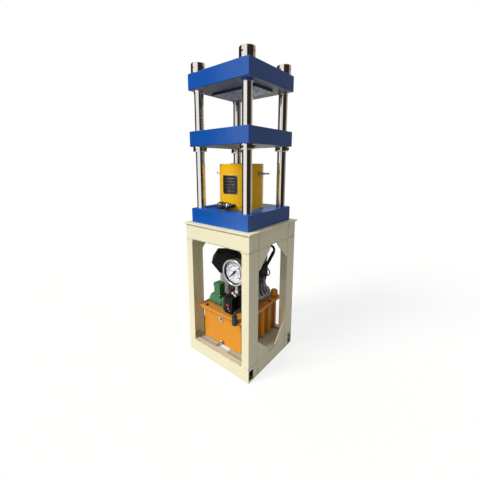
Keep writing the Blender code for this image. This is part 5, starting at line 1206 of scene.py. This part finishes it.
class PRESS_OT_jack(bpy.types.Operator):
    """Finish the jack, its ram, eyes and coupler, and fit the blank data plate"""

    bl_idname = "press.jack"
    bl_label = "Jack"
    # Distance along the coupler and radius
    SLEEVES = [
        (0.0240, 0.0165), (0.0250, 0.0175), (0.0350, 0.0175), (0.0362, 0.0160), (0.0390, 0.0160), (0.0402, 0.0175),
        (0.0490, 0.0175), (0.0500, 0.0165), (0.0502, 0.0120), (0.0610, 0.0120), (0.0620, 0.0110),
    ]
    SWIVEL_RING = [(0.0262, 0.0170), (0.0262, 0.0186), (0.0330, 0.0186), (0.0330, 0.0170)]
    CAP = [
        (0.0625, 0.0123), (0.0503, 0.0123), (0.0503, 0.0184), (0.0516, 0.0195), (0.0600, 0.0202), (0.0700, 0.0203),
        (0.0780, 0.0192), (0.0830, 0.0165), (0.0856, 0.0118), (0.0863, 0.0060),
    ]
    CAP_RIB = ((0.0530, 0.0193), (0.0560, 0.0208), (0.0720, 0.0210), (0.0790, 0.0190))
    CAP_RIB_DEPTH = 0.0014
    ELBOW_START, ELBOW_BEND = 0.132, 0.010
    COUPLER_BEARING, COUPLER_HEIGHT = -70, 0.9042
    PLATE_BEARING, PLATE_ROWS = -83.7, 6

    def execute(self, context):
        given = settings().jack
        worn = (0.60, 0.34, 0.04)
        yellow = enamel("yellow_enamel", given.paint, worn, coat=0.12, mottle=0.14, dust=0.08, wear=0.3)
        coat(["jack_cylinder"], yellow.done())
        ram = bright_steel("plated_ram", given.ram, 0.18, (12.0, 12.0, 900.0))
        coat(["jack_ram"], ram.done())
        eye = bright_steel("eye_steel", given.eye, 0.24, (200.0, 200.0, 200.0), 0.12)
        coat(["lifting_eye_left", "lifting_eye_right"], eye.done(), SMOOTH_ANGLE)
        values = {"Grain Scale": 800.0, "Pitting": 0.4}
        finish = Finish("coupler_enamel", "cast", given.black, 0.26, values, bump=0.00003, specular=0.4)
        black = finish.wear(0.0010, 0.55, (0.10, 0.10, 0.10), 0.3, 0.4).done()
        coat(["jack_coupler", "coupler_dust_cap"], black, SMOOTH_ANGLE)
        self.data_plate(given, black)
        self.coupler(black)
        return {"FINISHED"}

    def data_plate(self, given, black):
        """Curved plate on the jack with a bright rim, ruled lines left blank, and four drive rivets."""
        jack_low, jack_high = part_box("jack_cylinder")
        radius = (jack_high.y - jack_low.y) / 2
        middle = math.radians(self.PLATE_BEARING)
        half = given.plate_width / radius / 2
        left, right = middle - half, middle + half
        low, high = given.plate_low, given.plate_high
        bright = bright_steel("plate_metal", (0.62, 0.60, 0.55), 0.30, (60.0, 60.0, 900.0), 0.1).done()

        def patch(shape, a_low, a_high, z_low, z_high, inner, outer, steps):
            rings = []
            for step in range(steps + 1):
                out = heading(a_low + (a_high - a_low) * step / steps)
                corners = ((inner, z_low), (outer, z_low), (outer, z_high), (inner, z_high))
                rings.append([out * reach + Z_AXIS * z for reach, z in corners])
            shape.loft(rings)

        shape = Shape()
        patch(shape, left, right, low, high, radius - 0.0006, radius + 0.0005, 16)
        shape.finish("data_plate", black, "press", "jack_paint")
        face, top = radius + 0.0003, radius + 0.0009
        line = 0.0011
        arc = line / radius
        shape = Shape()
        patch(shape, left, right, high - line, high, face, top, 16)
        patch(shape, left, right, low, low + line, face, top, 16)
        for angle in (left, right - arc):
            patch(shape, angle, angle + arc, low + line, high - line, face, top, 2)
        inset = 0.32 * half
        for row in range(1, self.PLATE_ROWS):
            z = low + (high - low) * row / self.PLATE_ROWS
            patch(shape, left + inset, right - inset, z, z + 0.5 * line, face, top, 12)
        column = middle + 0.12 * half
        patch(shape, column, column + 0.5 * arc, low + 0.0166, high - 0.0166, face, top, 2)
        rivet = [(0, 0.0021), (0.0008, 0.0020), (0.0014, 0.0014), (0.0017, 0.0005)]
        for angle in (left + 0.046, right - 0.046):
            out = heading(angle)
            for z in (low + 0.0055, high - 0.0055):
                shape.turned(out * face + Z_AXIS * z, out, rivet, 12)
        shape.finish("data_plate_rim", bright, "press", "jack_paint")

    def coupler(self, black):
        """Hose coupler on its elbow, pointing to the left, with a bright swivel ring and a ribbed dust cap."""
        out = heading(math.radians(self.COUPLER_BEARING))
        ahead = Vector((out.y, -out.x, 0))
        height = Z_AXIS * self.COUPLER_HEIGHT
        start = out * (self.ELBOW_START + self.ELBOW_BEND) + height
        shape = Shape()
        path = [out * 0.119 + height, out * self.ELBOW_START + height]
        for step in range(1, 6):
            angle = math.radians(90) * step / 6
            corner = out * (self.ELBOW_START + self.ELBOW_BEND * math.sin(angle)) + height
            path.append(corner + ahead * self.ELBOW_BEND * (1 - math.cos(angle)))
        path += [start + ahead * 0.010, start + ahead * 0.018]
        shape.tube(path, 0.0095, 20)
        hex_fitting(shape, start + ahead * 0.0150, ahead, 0.0150, 0.0095)
        shape.turned(start, ahead, self.SLEEVES, 40)
        body = shape.finish("hose_coupler", black, "press", "coupler_black")
        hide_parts("jack_coupler")
        bright = bright_steel("coupler_ring", (0.46, 0.46, 0.44), 0.30, (300.0, 300.0, 300.0)).done()
        shape = Shape()
        shape.hollow(start, ahead, self.SWIVEL_RING, 40)
        shape.finish("coupler_swivel_ring", bright, "press", "coupler_black")
        plastic, edge = (0.010, 0.010, 0.010), (0.07, 0.07, 0.07)
        glossy = moulded("cap_plastic", plastic, 0.22, grain=700.0, wear=0.3, edge=edge, specular=0.5).done()
        shape = Shape()
        shape.turned(start, ahead, self.CAP, 40)
        up = frame_of(ahead)[1]
        stations = [(along, reach - self.CAP_RIB_DEPTH, reach) for along, reach in self.CAP_RIB]
        shape.flutes(start, ahead, spokes(18, up.cross(ahead), up), stations, 0.0011, 0.0007)
        cap = shape.finish("hose_coupler_cap", glossy, "dust_cap", "cap_black")
        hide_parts("coupler_dust_cap")


# Pump unit


class PRESS_OT_tank(bpy.types.Operator):
    """Paint the tank and its lid, finish the drain valve, and fit lid screws, sight glass details and filler cap
    flutes
    """

    bl_idname = "press.tank"
    bl_label = "Tank"
    LID_SCREWS = (
        (-0.124, -0.168), (0.088, -0.168), (-0.124, 0.193), (0.060, 0.193),
        (0.137, 0.103), (0.137, -0.078), (-0.157, 0.103), (-0.157, -0.078),
    )

    def execute(self, context):
        given = settings().pump
        worn = (0.50, 0.20, 0.03)
        orange = enamel("orange_enamel", given.paint, worn, coat=0.12, mottle=0.12, dust=0.05, wear=0.3)
        tree = orange.tree
        low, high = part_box("tank")
        place = place_parts(tree)
        foot = low.z + 0.0098
        orange.layer(ramp(tree, place["Z"], foot + 0.0004, foot - 0.0004), FOOT_RUBBER, 0.7)
        # Painted shade in the recessed grooves of the side faces, below the top edge.
        off_middle = magnitude(tree, minus(tree, place["X"], (low.x + high.x) / 2))
        half = (high.x - low.x) / 2
        groove = ramp(tree, off_middle, half - 0.0010, half - 0.0070)
        below = ramp(tree, place["Z"], high.z, high.z - 0.004)
        side = larger(tree, facing_mask(tree, X_AXIS, 0.2, 0.5), facing_mask(tree, -X_AXIS, 0.2, 0.5))
        shaded = times(tree, times(tree, groove, below), side)
        orange.layer(times(tree, shaded, 0.72), ORANGE_GROOVE_PAINTED_SHADE, 0.5)
        # Darker orange on the faces that look up: painted shade under the frame, with some dust.
        orange.layer(times(tree, facing_mask(tree, Z_AXIS, 0.7, 0.9), 0.55), LID_DUST_AND_SHADE, 0.42)
        orange = orange.done()
        coat(["tank", "tank_lid"], orange)
        coat(["filler_cap"], orange, SMOOTH_ANGLE)
        bright = bright_steel("plated_steel", given.bright, 0.20, (260.0, 260.0, 260.0), 0.1).done()
        coat(["sight_glass"], bright, SMOOTH_ANGLE)
        brass = bright_steel("valve_brass", given.brass, 0.28, (240.0, 240.0, 240.0), 0.12).done()
        coat(["drain_valve"], brass, SMOOTH_ANGLE)
        coat(["drain_lever"], bright_steel("lever_steel", (0.40, 0.40, 0.40), 0.32, (300.0,) * 3).done())
        coat(["pump_body"], bright_steel("pump_iron", (0.32, 0.31, 0.30), 0.45, (40.0, 40.0, 400.0)).done())
        self.lid_screws(given)
        self.sight(bright)
        self.filler()
        return {"FINISHED"}

    def lid_screws(self, given):
        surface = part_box("tank_lid")[0].z + 0.015
        shape = Shape()
        for x, y in self.LID_SCREWS:
            place = Vector((x, y, surface))
            cap_screw(shape, place, Z_AXIS, given.lid_screw_radius, given.lid_screw_height)
            washer = [(-0.0002, given.lid_screw_radius + 0.0022), (0.0011, given.lid_screw_radius + 0.0019)]
            shape.turned(place, Z_AXIS, washer)
        shape.finish("lid_screws", "black_oxide", "press", "tank_paint")

    def sight(self, bright):
        """Pane half filled with oil, dark above it as painted shade of the tank's inside, a bright dot as a
        painted glint, and its rim.
        """
        low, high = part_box("sight_glass")
        centre = Vector(((low.x + high.x) / 2, low.y, (low.z + high.z) / 2))
        shape = Shape()
        shape.turned(centre + Vector((0, 0.0022, 0)), FRONT, [(0, 0.0086), (0.0012, 0.0086), (0.0016, 0.0078)], 32)
        # Dark pane above the oil: painted shade of the tank's inside.
        dark = Finish("sight_pane", "cast", PANE_PAINTED_SHADE, 0.06, {"Grain Scale": 90.0}, bump=0.00001, specular=0.6)
        tree = dark.tree
        oil = ramp(tree, place_parts(tree)["Z"], centre.z + 0.0014, centre.z + 0.0004)
        dark.layer(oil, OIL, 0.06)
        shape.finish("sight_pane", dark.done(), "press", "sight_steel")
        # A bright steel dot in the middle of the pane: a painted glint.
        dot = Shape()
        dot.turned(centre + Vector((0, 0.0008, 0)), FRONT, [(0, 0.0024), (0.0006, 0.0024), (0.0009, 0.0018)], 20)
        dot.finish("sight_glint_dot", bright, "press", "sight_steel")
        rim = Shape()
        rim.hollow(centre, FRONT, [(0.0006, 0.0122), (0.0006, 0.0146), (-0.0006, 0.0148), (-0.0006, 0.0120)], 32)
        rim.finish("sight_ring", bright, "press", "sight_steel")

    def filler(self):
        """Grip flutes round the foot of the filler cap."""
        low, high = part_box("filler_cap")
        start = (low + high) / 2
        start.z = low.z + 0.0012
        foot = (high.x - low.x) / 2 - 0.0006
        crests = ((0.0, 0.0006), (0.0015, 0.0013), (0.0120, 0.0013), (0.0140, 0.0004))
        shape = Shape()
        stations = [(z, foot, foot + reach) for z, reach in crests]
        shape.flutes(start, Z_AXIS, spokes(28), stations, 0.0012, 0.0007)
        shape.finish("filler_cap_flutes", "orange_enamel", "filler_cap", "tank_paint")


# Motor


MOTOR_AXIS = Vector((-0.008, 0.100, 0))
BOX_OUT = heading(math.radians(220.5))
BOX_ACROSS = Z_AXIS.cross(BOX_OUT)
FIN_PITCH = math.radians(15)


class PRESS_OT_motor(bpy.types.Operator):
    """Finish the motor, and fit its screws, box details and handle grip"""

    bl_idname = "press.motor"
    bl_label = "Motor"
    CAST = {"Grain Scale": 420.0, "Pitting": 0.5}

    def execute(self, context):
        given = settings().motor
        self.bell(given)
        self.housing()
        worn = (0.20, 0.20, 0.20)
        barrel = enamel("barrel_enamel", given.barrel, worn, 0.36, coat=0.1, mottle=0.2, dust=0.12, wear=0.5)
        coat(["motor_barrel", "motor_rotor"], barrel.done())
        black = moulded("black_plastic", given.plastic).done()
        coat(["terminal_box"], black)
        coat(["fan_cover", "carry_handle", "motor_lead"], black, SMOOTH_ANGLE)
        self.cover_screws()
        self.housing_skirt()
        self.box_details(black)
        self.grips(given, black)
        self.barrel_ribs()
        return {"FINISHED"}

    def bell(self, given):
        """Cast bell, with painted shade in the gaps between its fins."""
        bell = Finish("bell_casting", "cast", given.casting, 0.40, self.CAST, metallic=0.55, bump=0.00012)
        bell.dust(0.12)
        bell.wear(0.0012, 0.65, (0.62, 0.63, 0.64), 0.3, 0.9)
        tree = bell.tree
        place = place_parts(tree)
        middle = middle_of("motor_bell")
        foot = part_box("motor_bell")[0].z
        x, y = minus(tree, place["X"], middle.x), minus(tree, place["Y"], middle.y)
        turn = maths(tree, "DIVIDE", maths(tree, "ARCTAN2", y, x), FIN_PITCH)
        off_fin = magnitude(tree, minus(tree, maths(tree, "FRACT", plus(tree, turn, 24.0)), 0.5))
        # Painted shade in the gaps between the fins.
        fin_gap_shade = times(tree, ramp(tree, off_fin, 0.16, 0.24), ramp(tree, place["Z"], foot + 0.034, foot + 0.038))
        bell.layer(times(tree, fin_gap_shade, 0.9), FIN_GAP_PAINTED_SHADE, 0.6, 0.1)
        coat(["motor_bell"], bell.done())

    def housing(self):
        grey = Finish("housing_casting", "cast", HOUSING_GREY, 0.46, self.CAST, metallic=0.20, bump=0.00010)
        grey.dust(0.1)
        grey.wear(0.0015, 0.5, (0.55, 0.56, 0.57), 0.35, 0.6)
        coat(["capacitor_housing"], grey.done())

    def housing_skirt(self):
        """Lower half of the capacitor housing, which stands in front of the bell."""
        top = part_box("capacitor_housing")[0].z + 0.0004
        rings = []
        for z, inset in ((0.3250, 0.0050), (0.3262, 0.0022), (0.3295, 0.0), (top, 0.0)):
            centre, radius, flat = 0.142, 0.0478 - inset, 0.1315 + inset
            half = math.acos((centre - flat) / radius)
            points = []
            for step in range(25):
                angle = math.pi - half - 2 * (math.pi - half) * step / 24
                point = BOX_OUT * (centre + radius * math.cos(angle)) + BOX_ACROSS * (radius * math.sin(angle))
                points.append(MOTOR_AXIS + point + Z_AXIS * z)
            rings.append(points)
        shape = Shape()
        shape.loft(rings)
        shape.finish("capacitor_skirt", "housing_casting", "press", "cast_grey")

    def cover_screws(self):
        low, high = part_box("fan_cover")
        centre = (low + high) / 2
        centre.z = low.z + 0.0075
        reach = (high.x - low.x) / 2 - 0.0004
        shape = Shape()
        for step in range(4):
            out = heading(math.radians(45 + 90 * step))
            cap_screw(shape, centre + out * reach, out, 0.0042, 0.0022)
        shape.finish("cover_screws", "plated_steel", "press", "cover_black")

    def box_details(self, black):
        """Lid rim and lid screws of the terminal box."""
        corner = MOTOR_AXIS + Z_AXIS * 0.5895
        places = [corner + BOX_ACROSS * x + BOX_OUT * y for x in (-0.047, 0.047) for y in (0.118, 0.186)]
        screw_set("box_screws", places, Z_AXIS, 0.0036, 0.0020, "black_oxide", "cover_black")
        rim = Shape()
        half, thickness = 0.0525, 0.0012
        start = MOTOR_AXIS + BOX_OUT * 0.110 + Z_AXIS * 0.5899
        for offset in (-half, half):
            corner = start + BOX_ACROSS * offset
            rim.tube([corner, corner + BOX_OUT * 0.090], thickness, 6)
        for distance in (0.0, 0.090):
            corner = start + BOX_OUT * distance - BOX_ACROSS * half
            rim.tube([corner, corner + BOX_ACROSS * 2 * half], thickness, 6)
        rim.finish("box_lid_rim", black, "press", "cover_black")

    def grips(self, given, black):
        """Grip ribs on the two slanted legs of the handle."""
        profile = [(0, 0.0070), (0.0006, 0.0092), (0.0036, 0.0100), (0.0066, 0.0092), (0.0072, 0.0070)]
        shape = Shape()
        for sign in (-1, 1):
            foot = MOTOR_AXIS + Vector((sign * 0.112, 0, 0.508))
            leg = MOTOR_AXIS + Vector((sign * 0.185, 0, 0.652)) - foot
            ahead = leg.normalized()
            reach = 0.030
            while reach < leg.length - 0.046:
                shape.hollow(foot + ahead * reach, ahead, profile, 20)
                reach += given.rib_pitch
        shape.finish("handle_ribs", black, "press", "cover_black")

    def barrel_ribs(self):
        """Low cooling ribs up the barrel between the bell and the cover."""
        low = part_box("motor_barrel")[0]
        radius, count = 0.098, 40
        radials = []
        for step, out in enumerate(spokes(count)):
            degrees = 360 * step / count
            if 14 <= degrees <= 172 or 262 <= degrees <= 300:
                radials.append(out)
        crests = ((low.z + 0.006, 0.0006), (low.z + 0.012, 0.0042), (0.535, 0.0042), (0.542, 0.0006))
        shape = Shape()
        stations = [(z, radius - 0.0012, radius + reach) for z, reach in crests]
        shape.flutes(MOTOR_AXIS, Z_AXIS, radials, stations, 0.0016, 0.0010)
        shape.finish("barrel_ribs", "barrel_enamel", "press", "cast_grey")


# Valves


class PRESS_OT_valves(bpy.types.Operator):
    """Finish the valve block, solenoid, knob, starter box and their small fittings"""

    bl_idname = "press.valves"
    bl_label = "Valves"
    BLOCK_FRONT, BLOCK_TOP = -0.1118, 0.4398
    STARTER_FRONT = -0.1649
    COIL_Y, COIL_Z = -0.130, 0.338

    def execute(self, context):
        given = settings().valves
        values = {"Grain Scale": 600.0, "Pitting": 0.4}
        block = Finish("valve_enamel", "cast", given.block, 0.30, values, bump=0.00004, specular=0.45)
        block.dust(0.12)
        block.wear(0.0012, 0.55, (0.14, 0.14, 0.15), 0.35)
        coat(["valve_block"], block.done())
        worn = (0.14, 0.30, 0.16)
        green = enamel("green_enamel", given.green, worn, 0.34, coat=0.2, mottle=0.15, dust=0.08, wear=0.45)
        coat(["solenoid_valve"], green.done())
        worn, fine_edge = (0.55, 0.30, 0.42), {"dust": 0.05, "radius": 0.0008}
        knob = enamel("violet_anodise", given.knob, worn, 0.24, coat=0.5, mottle=0.1, wear=0.4, **fine_edge)
        coat(["relief_knob"], knob.done(), SMOOTH_ANGLE)
        worn = (0.75, 0.20, 0.18)
        button = enamel("red_plastic", given.button, worn, 0.30, coat=0.3, mottle=0.08, wear=0.3, **fine_edge)
        coat(["stop_button"], button.done(), SMOOTH_ANGLE)
        plastic, edge = (0.007, 0.007, 0.007), (0.04, 0.04, 0.04)
        box = moulded("starter_plastic", plastic, 0.34, grain=1100.0, wear=0.30, edge=edge)
        coat(["starter_box"], box.done())
        self.fittings()
        self.outlet_ribs(given)
        self.knob_knurl()
        self.solenoid_details()
        self.starter_details()
        return {"FINISHED"}

    def fittings(self):
        """Plugs on the front of the valve block, the gauge's hexagon, and the screws of the block."""
        dome = [(0, 0.0080), (0.0012, 0.0078), (0.0022, 0.0060), (0.0026, 0.0030)]
        shape = Shape()
        for x, z in ((0.051, 0.417), (0.068, 0.409)):
            place = Vector((x, self.BLOCK_FRONT, z))
            hex_fitting(shape, place, FRONT, 0.0112, 0.010)
            shape.turned(place + FRONT * 0.0098, FRONT, [(0, 0.0086), (0.008, 0.0086), (0.009, 0.0078)])
            hex_fitting(shape, place + FRONT * 0.0220, FRONT, 0.0104, 0.0110)
            shape.turned(place + FRONT * 0.0328, FRONT, dome)
        hex_fitting(shape, (0.084, -0.150, 0.4392), Z_AXIS, 0.0125, 0.013)
        shape.finish("valve_fittings", "plated_steel", "press", "valve_brass")
        socket = Shape()
        for x, y in ((0.010, -0.100), (0.010, -0.062), (0.114, -0.100), (0.114, -0.062)):
            cap_screw(socket, (x, y, self.BLOCK_TOP), Z_AXIS, 0.0052, 0.0048)
        for x, z in ((0.096, 0.372), (0.096, 0.318), (0.117, 0.418)):
            cap_screw(socket, (x, self.BLOCK_FRONT, z), FRONT, 0.0048, 0.0042)
        socket.finish("valve_screws", "black_oxide", "press", "cast_grey")

    def outlet_ribs(self, given):
        ribs = Shape()
        profile = [(0, 0.0140), (0.0010, 0.0156), (0.0034, 0.0156), (0.0044, 0.0140)]
        for z in (0.2925, 0.3005, 0.3085, 0.3165):
            ribs.hollow((0.118, -0.207, z), Z_AXIS, profile, 32)
        cap = moulded("outlet_cap_plastic", given.cap, 0.36, edge=(0.16, 0.18, 0.24), specular=0.4).done()
        ribs.finish("outlet_cap_ribs", cap, "press", "cap_black")

    def knob_knurl(self):
        grip = Shape()
        start = middle_of("relief_knob")
        start.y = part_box("relief_knob")[0].y
        foot = 0.0108
        crests = ((0.0022, 0.0003), (0.0032, 0.0008), (0.0150, 0.0008), (0.0160, 0.0003))
        stations = [(along, foot, foot + lift) for along, lift in crests]
        grip.flutes(start, Y_AXIS, spokes(22, X_AXIS, Z_AXIS), stations, 0.0010, 0.0005)
        grip.finish("relief_knob_knurl", "violet_anodise", "relief_knob", "knob_violet")

    def solenoid_details(self):
        """Connector screw, gland nut, coil end cap and mounting screws."""
        shape = Shape()
        coil_ring = [(0.0, 0.0290), (0.0, 0.0306), (0.0040, 0.0306), (0.0040, 0.0290)]
        shape.hollow((-0.0602, self.COIL_Y, self.COIL_Z), -X_AXIS, coil_ring, 40)
        end_cap = [
            (0, 0.0210), (0.0020, 0.0205), (0.0030, 0.0180), (0.0030, 0.009), (0.0060, 0.0085), (0.0066, 0.0070),
        ]
        shape.turned((-0.1155, self.COIL_Y, self.COIL_Z), -X_AXIS, end_cap, 32)
        gland = Vector((-0.0815, self.COIL_Y, 0.426))
        hex_fitting(shape, gland, -X_AXIS, 0.0125, 0.0090)
        shape.finish("solenoid_rings", "green_enamel", "press", "solenoid_green")
        dark = Shape()
        dark.turned(gland - X_AXIS * 0.0088, -X_AXIS, [(0, 0.0060), (0.0050, 0.0056), (0.0052, 0.0030)], 20)
        cap_screw(dark, (-0.060, self.COIL_Y, 0.4456), Z_AXIS, 0.0040, 0.0024)
        dark.finish("solenoid_screws", "black_oxide", "press", "solenoid_green")
        places = [(x, y, 0.3796) for x in (-0.0825, -0.0375) for y in (-0.1525, -0.1075)]
        screw_set("solenoid_base_screws", places, Z_AXIS, 0.0026, 0.0022, "plated_steel", "solenoid_green")

    def starter_details(self):
        """Cover ribs, a round reset knob with a bright ring, and the screws of the cover."""
        low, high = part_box("starter_box")
        plastic = "starter_plastic"
        shape = Shape()
        for z in (0.3120, 0.3870):
            shape.block((low.x + 0.004, -0.1658, z), (high.x - 0.004, -0.1640, z + 0.0014), bevel=0.0004)
        shape.finish("starter_ribs", plastic, "press", "cover_black")
        knob = Shape()
        place = Vector((0.0395, -0.1652, 0.3215))
        knob.turned(place, FRONT, [(0, 0.0066), (0.0050, 0.0064), (0.0058, 0.0052)], 24)
        knob.finish("reset_knob", plastic, "press", "cover_black")
        bright = Shape()
        bright.hollow(place, FRONT, [(-0.0004, 0.0068), (-0.0004, 0.0090), (0.0014, 0.0087), (0.0016, 0.0068)], 32)
        bright.finish("reset_ring", "plated_steel", "press", "sight_steel")
        sides, levels = (low.x + 0.006, high.x - 0.006), (low.z + 0.007, high.z - 0.007)
        places = [(x, self.STARTER_FRONT, z) for x in sides for z in levels]
        screw_set("starter_screws", places, FRONT, 0.0027, 0.0014, "black_oxide", "cover_black")


SCALE_START, SCALE_SWEEP, SCALE_RADIUS = 225.0, 270.0, 0.0510
# Length and half angle of the long, middle and short ticks
LONG_TICK, MIDDLE_TICK, SHORT_TICK = (0.0075, 0.62), (0.0055, 0.34), (0.0038, 0.20)


class PRESS_OT_gauge(bpy.types.Operator):
    """Finish the pressure gauge and print its dial"""

    bl_idname = "press.gauge"
    bl_label = "Gauge"

    def execute(self, context):
        given = settings().valves
        steel = bright_steel("bezel_steel", (0.56, 0.55, 0.53), 0.20, (300.0,) * 3, 0.06).done()
        coat(["gauge_case"], steel, SMOOTH_ANGLE)
        dial = Finish("dial_white", "paint", given.dial, 0.45, {"Mottle": 0.03}, bump=0.00002)
        coat(["gauge_dial"], dial.done())
        needle = moulded("needle_black", (0.010, 0.010, 0.010), 0.4, wear=0.2).done()
        coat(["gauge_needle"], needle)
        coat(["gauge_lens"], glass("lens_glass", (0.97, 0.98, 0.98)))
        self.centre = middle_of("gauge_dial")
        self.centre.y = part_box("gauge_dial")[0].y - 0.0001
        self.marks(given)
        self.numbers()
        inner_ring = Shape()
        profile = [(0.0, 0.0598), (0.0, 0.0628), (0.0046, 0.0628), (0.0046, 0.0616), (0.0036, 0.0602)]
        inner_ring.hollow(self.centre + FRONT * 0.0001, FRONT, profile, 64)
        inner_ring.finish("gauge_inner_ring", needle, "press", "needle_black")
        hub = Shape()
        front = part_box("gauge_needle")[0].y
        self.blade(hub, front)
        hub_place = Vector((self.centre.x, front + 0.0002, self.centre.z))
        hub.turned(hub_place, FRONT, [(0, 0.0042), (0.0008, 0.0042), (0.0014, 0.0032)], 24)
        hub.finish("needle_hub_cap", needle, "needle", "needle_black")
        return {"FINISHED"}

    def blade(self, shape, front):
        """Flat tapered pointer over the thin needle, with a broad tail."""
        ahead = Vector((math.cos(math.radians(SCALE_START)), 0, math.sin(math.radians(SCALE_START))))
        side = Vector((-ahead.z, 0, ahead.x))
        rings = []
        widths = ((-0.0180, 0.0032), (-0.0060, 0.0036), (0.0, 0.0038), (0.0340, 0.0019), (0.0400, 0.0012))
        for radius, half in widths:
            middle = Vector((self.centre.x, front + 0.0010, self.centre.z)) + ahead * radius
            back = middle - FRONT * 0.0011
            rings.append([middle - side * half, middle + side * half, back + side * half, back - side * half])
        shape.loft(rings)

    def polar(self, degrees, radius, lift=0.0):
        angle = math.radians(degrees)
        return self.centre + Vector((radius * math.cos(angle), -lift, radius * math.sin(angle)))

    def sector(self, shape, first, last, inner, outer, steps, thickness=0.00025):
        rings = []
        for step in range(steps + 1):
            degrees = first + (last - first) * step / steps
            corners = ((inner, 0.0), (outer, 0.0), (outer, thickness), (inner, thickness))
            rings.append([self.polar(degrees, reach, lift) for reach, lift in corners])
        shape.loft(rings)

    def marks(self, given):
        """Scale arc, ticks, the red warning band and a thin grey arc."""
        for name, colour in (("dial_ink", given.mark), ("dial_red", given.red)):
            Finish(name, "paint", colour, 0.5, {"Mottle": 0.1}, bump=0.00001).done()
        ticks = Shape()
        for step in range(given.tick_count + 1):
            degrees = SCALE_START - SCALE_SWEEP * step / given.tick_count
            length, half = LONG_TICK if step % 10 == 0 else MIDDLE_TICK if step % 5 == 0 else SHORT_TICK
            self.sector(ticks, degrees - half, degrees + half, SCALE_RADIUS - length, SCALE_RADIUS, 1)
        self.sector(ticks, SCALE_START, SCALE_START - SCALE_SWEEP, SCALE_RADIUS, SCALE_RADIUS + 0.0006, 72)
        ticks.finish("dial_ticks", "dial_ink", "press", "dial_white")
        band = Shape()
        self.sector(band, 48.0, -42.0, 0.0400, 0.0462, 30, 0.0004)
        band.finish("dial_red_band", "dial_red", "press", "dial_white")
        thin = Shape()
        self.sector(thin, 128.0, 78.0, 0.0392, 0.0402, 20, 0.0003)
        thin.finish("dial_red_line", "dial_red", "press", "dial_white")
        grey = Finish("dial_grey", "paint", (0.21, 0.205, 0.23), 0.5, {}, bump=0.00001)
        arc = Shape()
        self.sector(arc, 184.0, 62.0, 0.0396, 0.0420, 40, 0.0002)
        arc.finish("dial_grey_arc", grey.done(), "press", "dial_white")

    def numbers(self):
        """Numbers of the scale and its unit, pressed from letters of the built-in font."""
        mesh = bmesh.new()
        labels = [(str(10 * step), SCALE_START - SCALE_SWEEP * step / 6, 0.0335, 0.0108) for step in range(7)]
        labels.append(("MPa", 270.0, 0.0190, 0.0085))
        for text, degrees, radius, size in labels:
            curve = bpy.data.curves.new("dial_label", "FONT")
            curve.body = text
            curve.size = size
            curve.align_x = "CENTER"
            curve.align_y = "CENTER"
            curve.extrude = 0.00012
            curve.resolution_u = 3
            letters = added("dial_label", curve)
            bpy.context.view_layer.update()
            shaped = letters.evaluated_get(bpy.context.evaluated_depsgraph_get()).to_mesh()
            turn = Matrix.Rotation(math.radians(90), 4, "X")
            turn.translation = self.polar(degrees, radius, 0.00014)
            shaped.transform(turn)
            mesh.from_mesh(shaped)
            bpy.data.objects.remove(letters)
            bpy.data.curves.remove(curve)
        bmesh.ops.remove_doubles(mesh, verts=mesh.verts, dist=0.000005)
        data = bpy.data.meshes.new("dial_numbers")
        mesh.to_mesh(data)
        mesh.free()
        data.materials.append(bpy.data.materials["dial_ink"])
        piece = added("dial_numbers", data)
        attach(piece, "press")


class PressSettingsRoot(bpy.types.PropertyGroup):
    """All settings of the press."""

    stage: PointerProperty(type=StageSettings, name="Stage", description="Floor, light and camera")
    stand: PointerProperty(type=StandSettings, name="Stand", description="Welded stand")
    press: PointerProperty(type=PressSettings, name="Press", description="Plates and columns")
    jack: PointerProperty(type=JackSettings, name="Jack", description="Jack and coupler")
    pump: PointerProperty(type=PumpSettings, name="Pump unit", description="Tank and lid")
    motor: PointerProperty(type=MotorSettings, name="Motor", description="Motor and handle")
    valves: PointerProperty(type=ValveSettings, name="Valves", description="Valves and gauge")


class PRESS_PT_dresser(bpy.types.Panel):
    """Settings and steps of the press"""

    bl_idname = "PRESS_PT_dresser"
    bl_label = "Press"
    bl_space_type = "VIEW_3D"
    bl_region_type = "UI"
    bl_category = "Press"

    def draw(self, context):
        for operator in OPERATORS:
            self.layout.operator(operator.bl_idname)
        root = context.scene.press_settings
        for part in ("stage", "stand", "press", "jack", "pump", "motor", "valves"):
            box = self.layout.box()
            box.label(text=part.capitalize())
            group = getattr(root, part)
            for name in group.bl_rna.properties.keys():
                if name not in ("rna_type", "name"):
                    box.prop(group, name)


OPERATORS = (
    PRESS_OT_stage,
    PRESS_OT_stand,
    PRESS_OT_plates,
    PRESS_OT_columns,
    PRESS_OT_jack,
    PRESS_OT_tank,
    PRESS_OT_motor,
    PRESS_OT_valves,
    PRESS_OT_gauge,
)
CLASSES = (
    StageSettings,
    StandSettings,
    PressSettings,
    JackSettings,
    PumpSettings,
    MotorSettings,
    ValveSettings,
    PressSettingsRoot,
    *OPERATORS,
    PRESS_PT_dresser,
)


def register():
    for item in CLASSES:
        bpy.utils.register_class(item)
    bpy.types.Scene.press_settings = PointerProperty(type=PressSettingsRoot)


def unregister():
    del bpy.types.Scene.press_settings
    for item in reversed(CLASSES):
        bpy.utils.unregister_class(item)


def main():
    register()
    bpy.ops.press.stage()
    bpy.ops.press.stand()
    bpy.ops.press.plates()
    bpy.ops.press.columns()
    bpy.ops.press.jack()
    bpy.ops.press.tank()
    bpy.ops.press.motor()
    bpy.ops.press.valves()
    bpy.ops.press.gauge()


if __name__ == "__main__":
    main()
